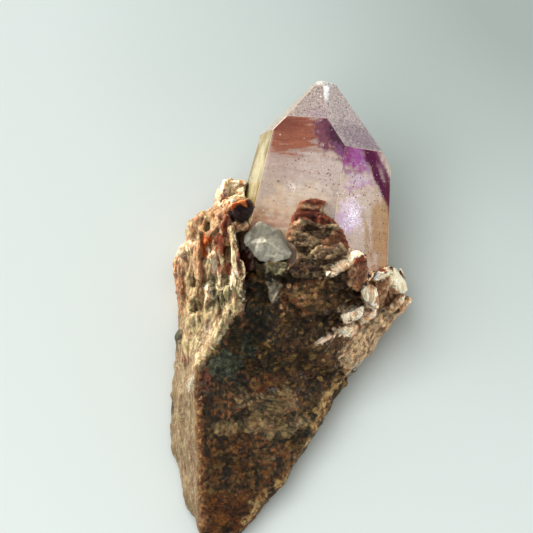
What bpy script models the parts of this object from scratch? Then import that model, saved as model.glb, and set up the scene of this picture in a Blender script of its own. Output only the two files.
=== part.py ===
"""Amethyst crystal grown on a wedge of pink feldspar rock, lying on the rock's flat broken back.

The specimen is drawn in its own frame, in millimetres: U to the right, V along its length towards
the crystal's tip, W out of its best face. It is then tilted back and laid on its rest face.
"""

import math
import random

import bmesh
import bpy
from mathutils import Matrix, Vector, noise

MM = 0.001

# The rock's flat back makes this angle with the specimen's length, so the crystal points up by it.
RECLINE = math.radians(22.0)
# Height of the specimen's origin over the surface that the rock lies on.
ORIGIN_HEIGHT = 20.6

# Gap kept between the rock and each crystal that sits in it.
SEAT_GAP = 0.35

# The large crystal.
AXIS_LEAN = math.radians(6.8)
AXIS_POINT = Vector((3.3, 25.0, -10.1))
# Its root is broken off at a slant, deepest at the front.
ROOT_LENGTH = 17.2
ROOT_NORMAL = Vector((0.05, -0.4, -1.0))
# Each side face: direction it faces, distance from the axis at AXIS_POINT, slope towards the tip.
SIDE_FACES = {
    "front": (-15.0, 8.75, 3.0),
    "front_right": (45.0, 9.95, 1.2),
    "right": (105.0, 11.3, 5.7),
    "back_right": (165.0, 9.4, 2.5),
    "back_left": (-135.0, 8.1, 11.0),
    "left": (-75.0, 10.15, 6.8),
}
# Each tip face: direction it faces, height along the axis where it would cross it, slope.
TIP_FACES = {
    "front": (-17.0, 16.95, 38.2),
    "front_right": (45.0, 14.75, 38.2),
    "right": (105.0, 13.9, 38.2),
    "back_right": (165.0, 13.2, 38.2),
    "back_left": (-135.0, 13.1, 38.2),
    "left": (-80.0, 15.45, 38.2),
    "apex_chip": (-150.0, 12.2, 74.0),
}

# The rock's main masses, each the hull of its corners.
MASSES = {
    "lower_wedge": [
        (-16.3, -37.8, -0.8), (-16.6, -28.0, 0.2), (-16.8, -20.0, 0.7), (-17.2, -10.7, 0.4),
        (-10.0, -37.8, -1.6), (-6.8, -33.6, -2.4), (-2.6, -29.6, -3.6), (0.0, -25.5, -4.4),
        (3.0, -19.0, -5.6), (5.2, -14.6, -7.0), (7.8, -11.0, -8.0),
        (-17.0, -37.8, -3.6), (-18.9, -33.0, -6.0), (-21.2, -25.6, -9.0), (-21.8, -20.0, -10.5),
        (-21.4, -13.0, -12.0), (-14.6, -40.8, -3.4), (-12.0, -40.4, -2.8),
        (-10.0, -39.0, -9.0), (-3.0, -30.0, -14.0), (2.0, -19.0, -18.0), (6.0, -11.0, -21.0),
        (-17.5, -33.0, -13.0), (-20.0, -20.0, -17.0), (-20.0, -6.0, -23.0), (4.0, -7.0, -22.0),
    ],
    "middle": [
        (-17.2, -10.7, 0.4), (-12.6, -4.2, 0.8), (-9.6, 0.8, 0.8), (-8.0, 6.0, -0.6),
        (4.0, 6.4, 0.8), (9.5, 3.0, -0.8), (13.0, -1.0, -4.0), (2.0, -6.0, 0.2),
        (7.8, -11.0, -7.0), (12.4, -7.4, -9.6), (14.8, -3.0, -10.6), (17.6, 0.4, -11.4),
        (-20.8, -7.0, -13.0), (-20.4, -2.6, -13.0), (-20.0, 2.0, -14.0),
        (6.0, -11.0, -21.0), (14.0, -4.0, -19.0), (16.8, 1.0, -20.0), (16.0, 6.5, -22.0),
        (-20.0, -14.0, -19.0), (-19.4, 4.0, -26.0), (-16.0, 9.0, -31.0), (11.0, 9.0, -31.0),
    ],
    "left_wall": [
        (-9.7, 0.8, 0.8), (-10.4, 7.0, 1.4), (-11.2, 13.2, 0.8), (-13.0, 15.0, -2.0),
        (-14.4, 16.8, -9.0), (-16.2, 15.0, -12.0), (-18.4, 13.4, -14.0), (-19.6, 9.6, -12.5),
        (-20.6, 6.0, -12.0), (-20.6, 1.0, -12.5), (-19.8, -3.0, -13.0), (-12.6, -4.2, 0.4),
        (-19.0, 3.0, -27.0), (-17.4, 12.0, -30.0), (-11.0, 15.0, -29.0), (-9.0, 4.0, -28.0),
        (-10.0, 16.5, -8.0),
    ],
    "left_crown": [
        (-14.2, 19.4, -13.0), (-13.0, 20.8, -12.6), (-9.4, 21.0, -13.6), (-8.8, 15.0, -9.0),
        (-14.2, 15.0, -9.5), (-14.6, 15.5, -20.0), (-9.4, 19.0, -22.0), (-12.6, 18.6, -21.0),
        (-11.0, 12.0, -26.0), (-14.6, 12.0, -24.0),
    ],
    "right_shoulder": [
        (12.4, 5.6, -2.2), (15.0, 6.6, -5.0), (16.6, 3.0, -8.0), (17.6, 0.6, -11.0),
        (13.0, -2.0, -4.4), (10.4, 0.0, -1.6), (17.0, 4.0, -19.0), (12.0, -3.0, -16.0),
        (16.4, 6.0, -12.0),
    ],
}
MASS_STEP = 4.2
MASS_RELIEF = 0.55

# The rock's surface: the cell that its pieces are fused by, its wear, its number of triangles.
FUSE_CELL = 0.32
WEAR = 0.2
ROCK_TRIANGLES = 9000

# Cleavage chips, each an outline in the face, the height of its front over the outline's middle,
# how that front slopes across and along, and its depth.
CHIPS = {
    "crown_block": (
        [(-13.1, 21.0), (-9.7, 21.3), (-9.0, 20.8), (-9.0, 18.6), (-11.4, 17.7), (-13.9, 17.1), (-13.3, 18.9)],
        -9.6, 0.3, -0.5, 6.0,
    ),
    "crown_step": (
        [(-13.9, 17.6), (-9.2, 18.8), (-8.9, 16.4), (-10.6, 15.6), (-13.2, 15.2), (-14.6, 16.2)],
        -5.6, 0.4, -0.9, 6.0,
    ),
    "slab": (
        [(-12.3, 16.4), (-11.4, 17.0), (-8.8, 17.9), (-7.9, 17.4), (-7.6, 15.9), (-8.0, 15.0),
         (-9.2, 13.8), (-10.0, 13.9), (-11.1, 14.7)],
        1.6, 0.05, -0.1, 1.5,
    ),
    "slab_root": (
        [(-13.6, 15.9), (-11.2, 16.6), (-10.2, 14.2), (-10.6, 12.2), (-13.6, 12.6)],
        0.3, 0.6, 0.0, 4.5,
    ),
    "slab_step": (
        [(-11.5, 14.2), (-9.9, 13.8), (-8.5, 13.1), (-8.6, 12.3), (-10.4, 12.2), (-11.6, 12.7)],
        0.9, 0.1, -0.3, 3.0,
    ),
    "tower_top": (
        [(-0.1, 17.4), (1.0, 17.8), (2.9, 17.7), (4.2, 17.5), (4.0, 16.9), (2.9, 16.2), (3.4, 15.5),
         (1.9, 15.3), (-0.4, 16.1)],
        0.8, 0.0, -0.12, 1.5,
    ),
    "tower_upper": (
        [(-1.4, 14.9), (-0.4, 16.2), (2.9, 15.9), (5.7, 14.3), (6.7, 12.7), (6.9, 11.5), (4.5, 10.7),
         (0.2, 10.7), (-1.6, 13.4)],
        1.3, 0.0, -0.16, 3.2,
    ),
    "tower_cheek": (
        [(-2.4, 11.2), (-2.2, 12.3), (-1.6, 13.5), (0.2, 14.5), (0.9, 13.8), (-0.6, 12.6),
         (-1.0, 10.6), (-2.2, 10.4)],
        2.3, 0.1, -0.1, 3.0,
    ),
    "tower_ledge": (
        [(0.2, 13.7), (1.8, 13.7), (5.4, 13.4), (6.3, 12.3), (4.9, 12.3), (1.4, 12.8)],
        2.1, 0.0, -0.5, 1.9,
    ),
    "tower_middle": (
        [(-0.8, 11.5), (1.0, 12.3), (3.3, 11.4), (6.5, 11.9), (7.1, 10.3), (8.0, 9.2), (6.9, 7.6),
         (5.3, 6.4), (2.9, 5.2), (0.2, 4.4), (-0.8, 7.6)],
        2.6, 0.0, -0.12, 5.0,
    ),
    "tower_shelf": (
        [(1.7, 9.2), (2.9, 9.8), (5.5, 9.6), (7.7, 10.1), (7.5, 9.1), (4.9, 8.1), (1.9, 8.3)],
        3.4, 0.0, -0.4, 2.2,
    ),
    "tower_foot": (
        [(-0.4, 8.6), (1.6, 8.2), (4.0, 7.6), (4.4, 6.0), (2.0, 4.9), (-0.2, 5.6)],
        3.2, 0.1, 0.1, 2.6,
    ),
    "bright_ridge": (
        [(4.2, 5.0), (5.5, 6.4), (6.9, 7.6), (8.1, 8.6), (9.6, 9.0), (10.6, 8.4), (11.0, 7.5),
         (11.2, 6.0), (11.0, 3.8), (10.4, 3.0), (8.8, 2.4), (7.0, 3.0), (5.0, 3.6)],
        2.3, -0.14, 0.1, 5.0,
    ),
    "bright_lip": (
        [(4.2, 5.2), (5.5, 6.5), (6.9, 7.7), (8.1, 8.7), (9.6, 9.1), (10.2, 8.6), (8.7, 8.1),
         (7.5, 6.9), (5.9, 5.7), (4.6, 4.7)],
        3.3, 0.0, -0.2, 2.6,
    ),
    "bright_cheek": (
        [(9.0, 8.3), (10.6, 8.3), (11.2, 6.6), (11.2, 4.2), (10.0, 3.6), (8.8, 4.6), (8.4, 6.6)],
        2.9, -0.3, 0.2, 3.4,
    ),
    "right_knob": (
        [(11.0, 3.8), (11.6, 3.7), (12.6, 3.1), (13.1, 1.5), (12.9, -0.1), (12.4, -0.8),
         (11.2, -0.2), (10.0, 1.2), (10.2, 2.8)],
        0.9, -0.3, -0.1, 6.0,
    ),
    "bright_wedge": (
        [(6.6, -2.0), (7.5, -1.2), (9.0, -0.3), (10.7, 0.1), (10.5, -1.4), (9.6, -2.4), (8.0, -2.8)],
        1.3, 0.1, -0.5, 3.6,
    ),
    "bright_chip": (
        [(5.8, -3.6), (7.5, -3.6), (9.3, -3.3), (9.1, -4.4), (6.9, -4.9)],
        0.6, 0.0, -0.6, 2.4,
    ),
    "right_post": (
        [(11.8, 4.4), (12.8, 5.6), (14.5, 6.0), (15.5, 4.8), (15.3, 2.9), (14.9, 1.3), (14.7, -0.6),
         (13.4, -0.6), (13.0, 1.5), (12.6, 3.1)],
        -2.6, -0.5, 0.0, 6.0,
    ),
    "post_cap": (
        [(11.8, 4.6), (12.8, 5.9), (14.5, 6.3), (15.4, 5.2), (14.2, 4.5), (12.8, 3.9)],
        -1.7, -0.3, -0.5, 3.6,
    ),
    "right_bar": (
        [(14.6, -1.2), (15.7, 0.6), (17.1, 2.0), (17.7, 1.6), (16.5, -0.2), (15.3, -1.6)],
        -5.8, -0.4, 0.0, 3.4,
    ),
    "right_tip": (
        [(15.8, 1.2), (17.7, 1.4), (18.8, 1.2), (18.6, 0.3), (17.3, -1.3), (16.3, -2.1), (15.0, -2.2)],
        -8.0, -0.3, 0.0, 7.0,
    ),
    "foot_ledge": (
        [(-7.9, 8.3), (-6.0, 8.6), (-2.0, 8.6), (-1.8, 6.2), (-3.0, 5.0), (-5.5, 4.7), (-7.4, 5.8)],
        2.3, 0.0, -0.1, 4.4,
    ),
    "brow": (
        [(-2.4, 6.4), (0.2, 4.8), (2.9, 5.2), (5.9, 3.6), (7.8, 2.5), (6.9, 0.5), (4.9, -0.7),
         (1.0, -1.1), (-1.4, 0.5), (-2.4, 3.5)],
        1.7, -0.03, 0.08, 4.0,
    ),
    "chin": (
        [(-5.8, 4.6), (-3.4, 4.6), (-3.6, 2.4), (-4.4, 0.6), (-5.4, 2.4)],
        1.7, 0.0, 0.1, 2.4,
    ),
    "left_horn": (
        [(-19.2, 13.8), (-18.1, 14.5), (-16.5, 15.7), (-15.2, 15.2), (-15.3, 13.4), (-16.4, 12.2),
         (-17.6, 10.9), (-19.0, 10.6)],
        -8.6, 0.9, -0.2, 5.0,
    ),
    "orange_blade": (
        [(-14.6, 14.4), (-13.2, 15.3), (-12.4, 13.4), (-13.6, 10.6), (-15.0, 8.6), (-15.9, 7.9),
         (-16.2, 11.4)],
        -3.2, 0.9, 0.0, 3.6,
    ),
    "orange_tip": (
        [(-16.3, 11.3), (-15.2, 11.9), (-14.6, 10.4), (-15.3, 8.2), (-16.0, 8.0)],
        -3.8, 0.7, 0.1, 2.6,
    ),
    "left_bulge": (
        [(-21.1, 7.9), (-20.3, 9.6), (-18.9, 10.6), (-17.7, 10.7), (-17.4, 9.2), (-18.0, 7.2),
         (-19.0, 5.6), (-19.6, 3.4), (-19.9, 1.1), (-20.8, 2.3), (-21.3, 5.7)],
        -9.0, 0.9, 0.1, 7.0,
    ),
    "left_cheek": (
        [(-18.6, 7.4), (-17.6, 8.4), (-16.8, 5.4), (-17.0, 0.6), (-18.2, -3.4), (-19.3, -1.6),
         (-19.2, 3.6)],
        -7.6, 1.0, 0.0, 5.0,
    ),
}
CHIP_CHAMFER = 0.3

# Upright blades on the left wall: top, foot, width, depth.
BLADES = {
    "edge_blade": ((-11.5, 13.2, 1.3), (-9.7, 1.2, 1.3), 1.2, 3.0),
    "edge_blade_low": ((-10.6, 6.0, 1.7), (-10.6, -1.8, 1.0), 1.1, 2.4),
    "edge_strand": ((-9.9, 6.0, 1.7), (-9.3, 0.8, 1.5), 0.8, 2.2),
    "second_blade": ((-16.4, 13.0, -5.6), (-17.2, 1.0, -7.0), 1.3, 4.4),
    "third_blade": ((-17.2, 10.0, -7.4), (-18.4, -3.0, -8.6), 1.2, 3.8),
    "inner_blade": ((-14.9, 9.0, -3.6), (-15.8, -3.0, -5.2), 1.1, 3.0),
    "orange_fold": ((-12.4, 13.8, -0.6), (-12.4, 8.0, -0.9), 1.6, 3.4),
    "low_blade": ((-13.0, 2.6, -1.6), (-15.6, -7.0, -2.6), 1.2, 2.6),
    "lower_blade": ((-14.6, -1.0, -3.6), (-18.0, -11.0, -4.6), 1.3, 2.8),
    "far_blade": ((-18.0, -1.0, -8.2), (-19.8, -12.0, -8.6), 1.5, 3.0),
}

# Rows of broken grains along an edge: start, end, count, grain size.
GRAIN_ROWS = {
    "long_edge": ((-10.2, -0.6, 0.2), (-17.0, -10.6, -0.1), 9, 1.6),
    "lower_edge": ((-17.0, -11.6, -0.4), (-16.2, -37.0, -1.6), 12, 1.4),
    "left_outline": ((-20.2, -4.0, -11.4), (-21.0, -26.0, -9.6), 9, 1.9),
    "right_rim": ((7.6, -9.4, -6.4), (14.6, -2.4, -9.4), 7, 1.9),
    "right_outline": ((2.8, -19.0, -8.0), (13.0, -5.4, -12.0), 8, 1.9),
    "crown_edge": ((-13.4, 18.4, -15.0), (-10.8, 16.8, -21.0), 4, 2.6),
    "foot_row": ((-8.4, 4.2, 0.7), (-1.4, 3.0, 1.5), 6, 1.6),
    "tower_side": ((4.4, 12.6, 1.5), (8.0, 8.8, 2.3), 5, 1.2),
    "front_low": ((0.4, -2.0, 0.7), (6.2, 0.6, 1.0), 5, 1.6),
    "front_middle": ((-6.0, -6.0, 0.2), (5.0, -7.0, -1.6), 7, 1.8),
    "back_rim": ((-8.6, 7.6, -24.0), (9.6, 7.4, -24.0), 7, 4.4),
    "back_right_rim": ((11.2, 5.0, -23.0), (15.8, 4.4, -14.0), 4, 3.4),
    "back_left_rim": ((-15.6, 11.4, -22.0), (-11.0, 12.0, -26.0), 4, 3.8),
    "back_edge": ((4.8, -12.6, -14.0), (-8.4, -34.0, -7.4), 8, 2.6),
}

# Hollows broken out of the rock: middle, size, turn.
HOLLOWS = {
    "wall_pocket": ((-13.4, 5.2, 0.4), (4.4, 3.9, 4.6), -4),
    "wall_cell": ((-12.0, 8.4, 0.8), (1.5, 3.4, 4.0), -6),
    "dark_oval": ((-8.7, 8.0, 2.4), (1.5, 3.9, 3.2), -8),
    "under_cheek": ((7.4, 1.5, 2.7), (6.2, 1.5, 3.4), 26),
    "under_wedge": ((4.8, -3.6, 1.6), (5.6, 1.9, 2.6), 12),
    "tower_cleft": ((3.8, 10.9, 4.2), (4.6, 0.9, 2.6), -4),
    "tower_notch": ((2.4, 14.3, 2.5), (3.6, 0.7, 1.8), -2),
    "foot_cleft": ((-1.5, 7.6, 4.4), (0.9, 3.6, 2.4), 8),
    "post_gap": ((12.5, 2.6, -0.6), (0.8, 5.0, 3.8), 8),
    "bar_gap": ((15.4, 2.6, -4.2), (1.3, 2.8, 4.2), -36),
    "horn_gap": ((-15.6, 13.4, -4.6), (1.1, 4.6, 5.0), 8),
    "bulge_gap": ((-18.0, 6.4, -5.6), (0.9, 7.0, 3.6), 4),
    "wall_crease": ((-14.8, -1.6, -1.2), (0.9, 6.0, 3.0), -16),
    "chin_hollow": ((-6.6, 2.2, 2.4), (1.9, 3.4, 3.0), 0),
}

# The two small quartz crystals, each the hull of its corners.
QUARTZ_FOOT = [
    (-9.3, 11.6, 0.2), (-7.9, 13.4, -0.1), (-6.7, 14.2, -0.3), (-4.3, 13.2, 0.1), (-3.2, 12.6, 0.5),
    (-2.3, 11.0, 1.3), (-1.2, 8.8, 2.0), (-1.6, 7.9, 2.1), (-4.3, 7.3, 2.6), (-6.9, 7.5, 2.1),
    (-8.0, 9.0, 1.6), (-9.4, 10.6, 1.0), (-5.4, 10.6, 2.9), (-3.6, 9.2, 3.2), (-7.6, 10.6, -3.0),
    (-2.4, 9.4, -2.4), (-4.4, 7.6, -2.4),
]
QUARTZ_SIDE = [
    (15.4, 6.2, -9.2), (16.0, 6.4, -9.8), (17.8, 4.2, -11.4), (18.4, 2.3, -12.0),
    (16.9, 1.4, -11.4), (15.8, 3.2, -8.8), (16.4, 6.4, -14.2), (18.2, 3.6, -15.0),
    (15.6, 2.0, -15.0), (15.2, 5.6, -12.4),
]

ROCK_COLOUR = (0.52, 0.33, 0.24, 1.0)
AMETHYST_COLOUR = (0.62, 0.45, 0.60, 1.0)
MILKY_COLOUR = (0.66, 0.68, 0.64, 1.0)
YELLOW_COLOUR = (0.72, 0.68, 0.50, 1.0)


def clear_scene():
    """Removes what the scene holds."""
    for obj in list(bpy.data.objects):
        bpy.data.objects.remove(obj)


def material(name, colour, roughness):
    """A plain material of one colour."""
    made = bpy.data.materials.new(name)
    made.use_nodes = True
    shader = made.node_tree.nodes["Principled BSDF"]
    shader.inputs["Base Color"].default_value = colour
    shader.inputs["Roughness"].default_value = roughness
    shader.inputs["Metallic"].default_value = 0.0
    return made


def laid_down():
    """The matrix from the specimen's own frame in millimetres to the row frame in metres."""
    raised = Matrix.Translation((0.0, 0.0, ORIGIN_HEIGHT * MM))
    return raised @ Matrix.Rotation(RECLINE, 4, "X") @ Matrix.Scale(MM, 4)


def object_of(name, bm, collection):
    """A new object holding the bmesh, which is freed."""
    bmesh.ops.recalc_face_normals(bm, faces=bm.faces)
    if bm.calc_volume(signed=True) < 0.0:
        bmesh.ops.reverse_faces(bm, faces=bm.faces)
    mesh = bpy.data.meshes.new(name)
    bm.to_mesh(mesh)
    bm.free()
    obj = bpy.data.objects.new(name, mesh)
    collection.objects.link(obj)
    return obj


def hull_of(points):
    """A bmesh of the convex hull of the points."""
    bm = bmesh.new()
    for point in points:
        bm.verts.new(point)
    hull = bmesh.ops.convex_hull(bm, input=bm.verts)
    spare = {v for v in hull["geom_interior"] + hull["geom_unused"] if v.is_valid}
    loose = [v for v in spare if isinstance(v, bmesh.types.BMVert)]
    bmesh.ops.delete(bm, geom=loose, context="VERTS")
    return bm


def roughen(bm, step, relief, offset):
    """Splits the hull's long edges and moves its points in and out, as broken rock."""
    for _ in range(4):
        long_edges = [e for e in bm.edges if e.calc_length() > step]
        if not long_edges:
            break
        bmesh.ops.subdivide_edges(bm, edges=long_edges, cuts=1)
        bmesh.ops.triangulate(bm, faces=bm.faces)
    bm.normal_update()
    for vert in bm.verts:
        swell = noise.noise(vert.co * 0.16 + offset) + 0.6 * noise.noise(vert.co * 0.4 + offset)
        vert.co += vert.normal * relief * swell * 1.6


def chipped_block(size, rng, chip=0.3):
    """A box with its corners broken off, each by a different amount."""
    points = []
    for x in (-1, 1):
        for y in (-1, 1):
            for z in (-1, 1):
                corner = Vector((x, y, z))
                for axis in range(3):
                    point = corner.copy()
                    point[axis] *= 1.0 - 2.0 * chip * rng.uniform(0.2, 1.0)
                    points.append(Vector(point[i] * size[i] / 2 for i in range(3)))
    return hull_of(points)


def turned(bm, middle, turn, tip=0.0, yaw=0.0):
    """The bmesh turned in the face, tipped forwards and yawed, then moved to its place."""
    spin = (
        Matrix.Rotation(math.radians(turn), 4, "Z")
        @ Matrix.Rotation(math.radians(tip), 4, "X")
        @ Matrix.Rotation(math.radians(yaw), 4, "Y")
    )
    bm.transform(Matrix.Translation(middle) @ spin)
    return bm


def chip_of(outline, front, across, along, depth):
    """A chip of rock with a sloped front, chamfered all round."""
    corners = [Vector(corner) for corner in outline]
    middle = sum(corners, Vector((0.0, 0.0))) / len(corners)
    points = []
    for corner in corners:
        arm = corner - middle
        inner = arm * (1.0 - CHIP_CHAMFER / arm.length)
        for offset, drop in ((inner, 0.0), (arm, CHIP_CHAMFER), (arm, depth)):
            height = front + across * offset.x + along * offset.y - drop
            points.append(Vector((*(middle + offset), height)))
    return hull_of(points)


def blade(top, foot, width, depth, rng):
    """A long thin cleavage blade from its top to its foot."""
    start, end = Vector(foot), Vector(top)
    along = end - start
    bm = chipped_block((width, along.length, depth), rng, chip=0.22)
    bm.transform(Matrix.Translation((start + end) / 2) @ along.to_track_quat("Y", "Z").to_matrix().to_4x4())
    return bm


def grain_row(start, end, count, size, rng):
    """Broken grains in a row from start to end, as a list of bmeshes."""
    first, last = Vector(start), Vector(end)
    grains = []
    for i in range(count):
        middle = first.lerp(last, (i + rng.uniform(0.25, 0.75)) / count)
        middle += Vector(rng.uniform(-0.14, 0.14) * size for _ in range(3))
        box = [size * rng.uniform(0.7, 1.25) for _ in range(3)]
        box[rng.randrange(3)] *= 1.5
        grain = chipped_block(box, rng)
        grains.append(turned(grain, middle, rng.uniform(0, 90), rng.uniform(-35, 35), rng.uniform(-35, 35)))
    return grains


def cut_by_plane(bm, point, normal):
    """Removes what lies beyond the plane, and closes the cut."""
    geometry = bm.verts[:] + bm.edges[:] + bm.faces[:]
    bmesh.ops.bisect_plane(bm, geom=geometry, plane_co=point, plane_no=normal, clear_outer=True)
    rim = [e for e in bm.edges if e.is_boundary]
    if rim:
        bmesh.ops.holes_fill(bm, edges=rim)


def axis_frame():
    """The crystal's frame: its Z along the crystal, its Y towards the specimen's front."""
    up = Vector((math.sin(AXIS_LEAN), math.cos(AXIS_LEAN), 0.0))
    front = Vector((0.0, 0.0, 1.0))
    right = up.cross(front)
    basis = Matrix((right, front, up)).transposed().to_4x4()
    return Matrix.Translation(AXIS_POINT) @ basis


def outward(direction, slope):
    """The normal of a face that faces a direction round the axis and leans in towards the tip."""
    facing, lean = math.radians(direction), math.radians(slope)
    flat = Vector((math.sin(facing), math.cos(facing), 0.0)) * math.cos(lean)
    return flat + Vector((0.0, 0.0, math.sin(lean)))


def amethyst_body(grow=0.0):
    """The crystal as a block cut by its faces, each moved out by grow."""
    bm = bmesh.new()
    bmesh.ops.create_cube(bm, size=90.0)
    for facing, distance, slope in SIDE_FACES.values():
        normal = outward(facing, slope)
        point = outward(facing, 0.0) * distance
        cut_by_plane(bm, point + normal * grow, normal)
    for facing, height, slope in TIP_FACES.values():
        normal = outward(facing, slope)
        cut_by_plane(bm, Vector((0.0, 0.0, height)) + normal * grow, normal)
    root = ROOT_NORMAL.normalized()
    cut_by_plane(bm, Vector((0.0, 0.0, -ROOT_LENGTH)) + root * grow, root)
    bm.transform(axis_frame())
    return bm


def rock_pieces(rng):
    """The bmeshes that the rock is joined from, the first its largest mass."""
    pieces = []
    for i, corners in enumerate(MASSES.values()):
        mass = hull_of([Vector(c) for c in corners])
        roughen(mass, MASS_STEP, MASS_RELIEF, Vector((7.3 * i, 1.7, 4.1)))
        pieces.append(mass)
    for outline, front, across, along, depth in CHIPS.values():
        pieces.append(chip_of(outline, front, across, along, depth))
    for top, foot, width, depth in BLADES.values():
        pieces.append(blade(top, foot, width, depth, rng))
    for start, end, count, size in GRAIN_ROWS.values():
        pieces.extend(grain_row(start, end, count, size, rng))
    return pieces


def applied(obj):
    """Replaces the object's mesh with its evaluated one, and drops its modifiers."""
    graph = bpy.context.evaluated_depsgraph_get()
    mesh = bpy.data.meshes.new_from_object(obj.evaluated_get(graph))
    obj.modifiers.clear()
    obj.data = mesh


def boolean(obj, operation, collection):
    """Joins or cuts the object with all of a collection."""
    modifier = obj.modifiers.new(operation.lower(), "BOOLEAN")
    modifier.operation = operation
    modifier.operand_type = "COLLECTION"
    modifier.collection = collection
    modifier.solver = "EXACT"
    bpy.context.view_layer.update()
    applied(obj)


def fused(obj):
    """Fuses the object's overlapping bodies to one surface of even cells."""
    modifier = obj.modifiers.new("fuse", "REMESH")
    modifier.mode = "VOXEL"
    modifier.voxel_size = FUSE_CELL * MM
    bpy.context.view_layer.update()
    applied(obj)


def weathered(obj):
    """Moves the surface in and out by a little, as a broken and worn face."""
    bm = bmesh.new()
    bm.from_mesh(obj.data)
    bm.normal_update()
    for vert in bm.verts:
        place = vert.co / MM
        swell = noise.noise(place * 0.33) + 0.7 * noise.noise(place * 0.8)
        vert.co += vert.normal * swell * WEAR * MM
    bm.to_mesh(obj.data)
    bm.free()


def thinned(obj, faces):
    """Brings the mesh to about this number of triangles, most of them where it bends."""
    obj.data.calc_loop_triangles()
    modifier = obj.modifiers.new("thin", "DECIMATE")
    modifier.ratio = faces / len(obj.data.loop_triangles)
    bpy.context.view_layer.update()
    applied(obj)


def drop_crumbs(obj):
    """Keeps the mesh's largest body, and drops what a cut has parted from it."""
    bm = bmesh.new()
    bm.from_mesh(obj.data)
    left, bodies = set(bm.faces), []
    while left:
        start = left.pop()
        body, front = [start], [start]
        while front:
            for edge in front.pop().edges:
                for face in edge.link_faces:
                    if face in left:
                        left.remove(face)
                        body.append(face)
                        front.append(face)
        bodies.append(body)
    largest = max(bodies, key=len)
    spare = [f for body in bodies if body is not largest for f in body]
    bmesh.ops.delete(bm, geom=spare, context="FACES")
    bm.to_mesh(obj.data)
    bm.free()


def helper_collection(name):
    """A collection of helpers, which is no part of the object."""
    made = bpy.data.collections.new(name)
    bpy.context.scene.collection.children.link(made)
    return made


def add_helper(name, bm, collection):
    """A hidden helper object in the row frame."""
    bm.transform(laid_down())
    obj = object_of(name, bm, collection)
    obj.hide_render = True
    obj.display_type = "WIRE"
    return obj


def build_rock(collection):
    """The rock: its pieces fused, worn, then cut for the crystals and for the flat back."""
    rng = random.Random(11)
    cutters = helper_collection("rock_cutters")
    whole = bmesh.new()
    for piece in rock_pieces(rng):
        mesh = bpy.data.meshes.new("piece")
        bmesh.ops.recalc_face_normals(piece, faces=piece.faces)
        piece.to_mesh(mesh)
        piece.free()
        whole.from_mesh(mesh)
        bpy.data.meshes.remove(mesh)
    whole.transform(laid_down())
    rock = object_of("matrix", whole, collection)
    fused(rock)
    hollows = helper_collection("hollow_cutters")
    for name, (middle, size, turn) in HOLLOWS.items():
        add_helper(name, turned(chipped_block(size, rng), Vector(middle), turn), hollows)
    boolean(rock, "DIFFERENCE", hollows)
    fused(rock)
    weathered(rock)
    thinned(rock, ROCK_TRIANGLES)
    add_helper("amethyst_seat", amethyst_body(SEAT_GAP), cutters)
    add_helper("foot_seat", grown_hull(QUARTZ_FOOT, SEAT_GAP), cutters)
    add_helper("side_seat", grown_hull(QUARTZ_SIDE, SEAT_GAP), cutters)
    floor = bmesh.new()
    bmesh.ops.create_cube(floor, size=200.0 * MM)
    floor.transform(Matrix.Translation((0.0, 0.0, -100.0 * MM)))
    ground = object_of("ground", floor, cutters)
    ground.hide_render = True
    ground.display_type = "WIRE"
    boolean(rock, "DIFFERENCE", cutters)
    drop_crumbs(rock)
    rock.data.materials.append(material("feldspar_rock", ROCK_COLOUR, 0.85))
    return rock


def grown_hull(corners, grow):
    """The hull of the corners with its faces moved out by grow."""
    bm = hull_of([Vector(c) for c in corners])
    bm.normal_update()
    planes = [(f.calc_center_median() + f.normal * grow, f.normal.copy()) for f in bm.faces]
    bm.free()
    grown = bmesh.new()
    bmesh.ops.create_cube(grown, size=90.0)
    for point, normal in planes:
        cut_by_plane(grown, point, normal)
    return grown


def build_amethyst(collection):
    """The large crystal."""
    bm = amethyst_body()
    bm.transform(laid_down())
    crystal = object_of("amethyst", bm, collection)
    crystal.data.materials.append(material("amethyst", AMETHYST_COLOUR, 0.1))
    return crystal


def build_small_quartz(collection):
    """The milky lump at the large crystal's foot and the yellow crystal at its side."""
    clearance = helper_collection("amethyst_clearance")
    add_helper("amethyst_space", amethyst_body(SEAT_GAP), clearance)
    named = {
        "quartz_foot": (QUARTZ_FOOT, MILKY_COLOUR),
        "quartz_side": (QUARTZ_SIDE, YELLOW_COLOUR),
    }
    for name, (corners, colour) in named.items():
        bm = hull_of([Vector(c) for c in corners])
        bm.transform(laid_down())
        obj = object_of(name, bm, collection)
        boolean(obj, "DIFFERENCE", clearance)
        drop_crumbs(obj)
        obj.data.materials.append(material(name, colour, 0.2))


def centre(collection):
    """Moves the specimen so that the middle of its base is the origin."""
    corners = [v.co for obj in collection.objects for v in obj.data.vertices]
    low = Vector(min(c[i] for c in corners) for i in range(3))
    high = Vector(max(c[i] for c in corners) for i in range(3))
    middle = (low + high) / 2
    shift = Matrix.Translation((-middle.x, -middle.y, -low.z))
    for obj in collection.objects:
        obj.data.transform(shift)


def main():
    clear_scene()
    specimen = bpy.data.collections.new("amethyst_on_matrix")
    bpy.context.scene.collection.children.link(specimen)
    build_amethyst(specimen)
    build_small_quartz(specimen)
    build_rock(specimen)
    centre(specimen)


main()
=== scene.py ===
"""Amethyst crystal grown on a wedge of pink feldspar rock, dressed and lit for a studio view.

Lengths in the drawing are millimetres in the specimen's own frame: U to the right, V along the
specimen towards the crystal's tip, W out of its best face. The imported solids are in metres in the
row frame, where the specimen lies on the rock's flat broken back.
"""

import itertools
import logging
import math
from collections.abc import Callable
from dataclasses import dataclass, field
from enum import Enum
from typing import ClassVar

import bmesh
import bpy
import numpy as np
from mathutils import Matrix, Vector, noise
from mathutils.bvhtree import BVHTree


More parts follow.
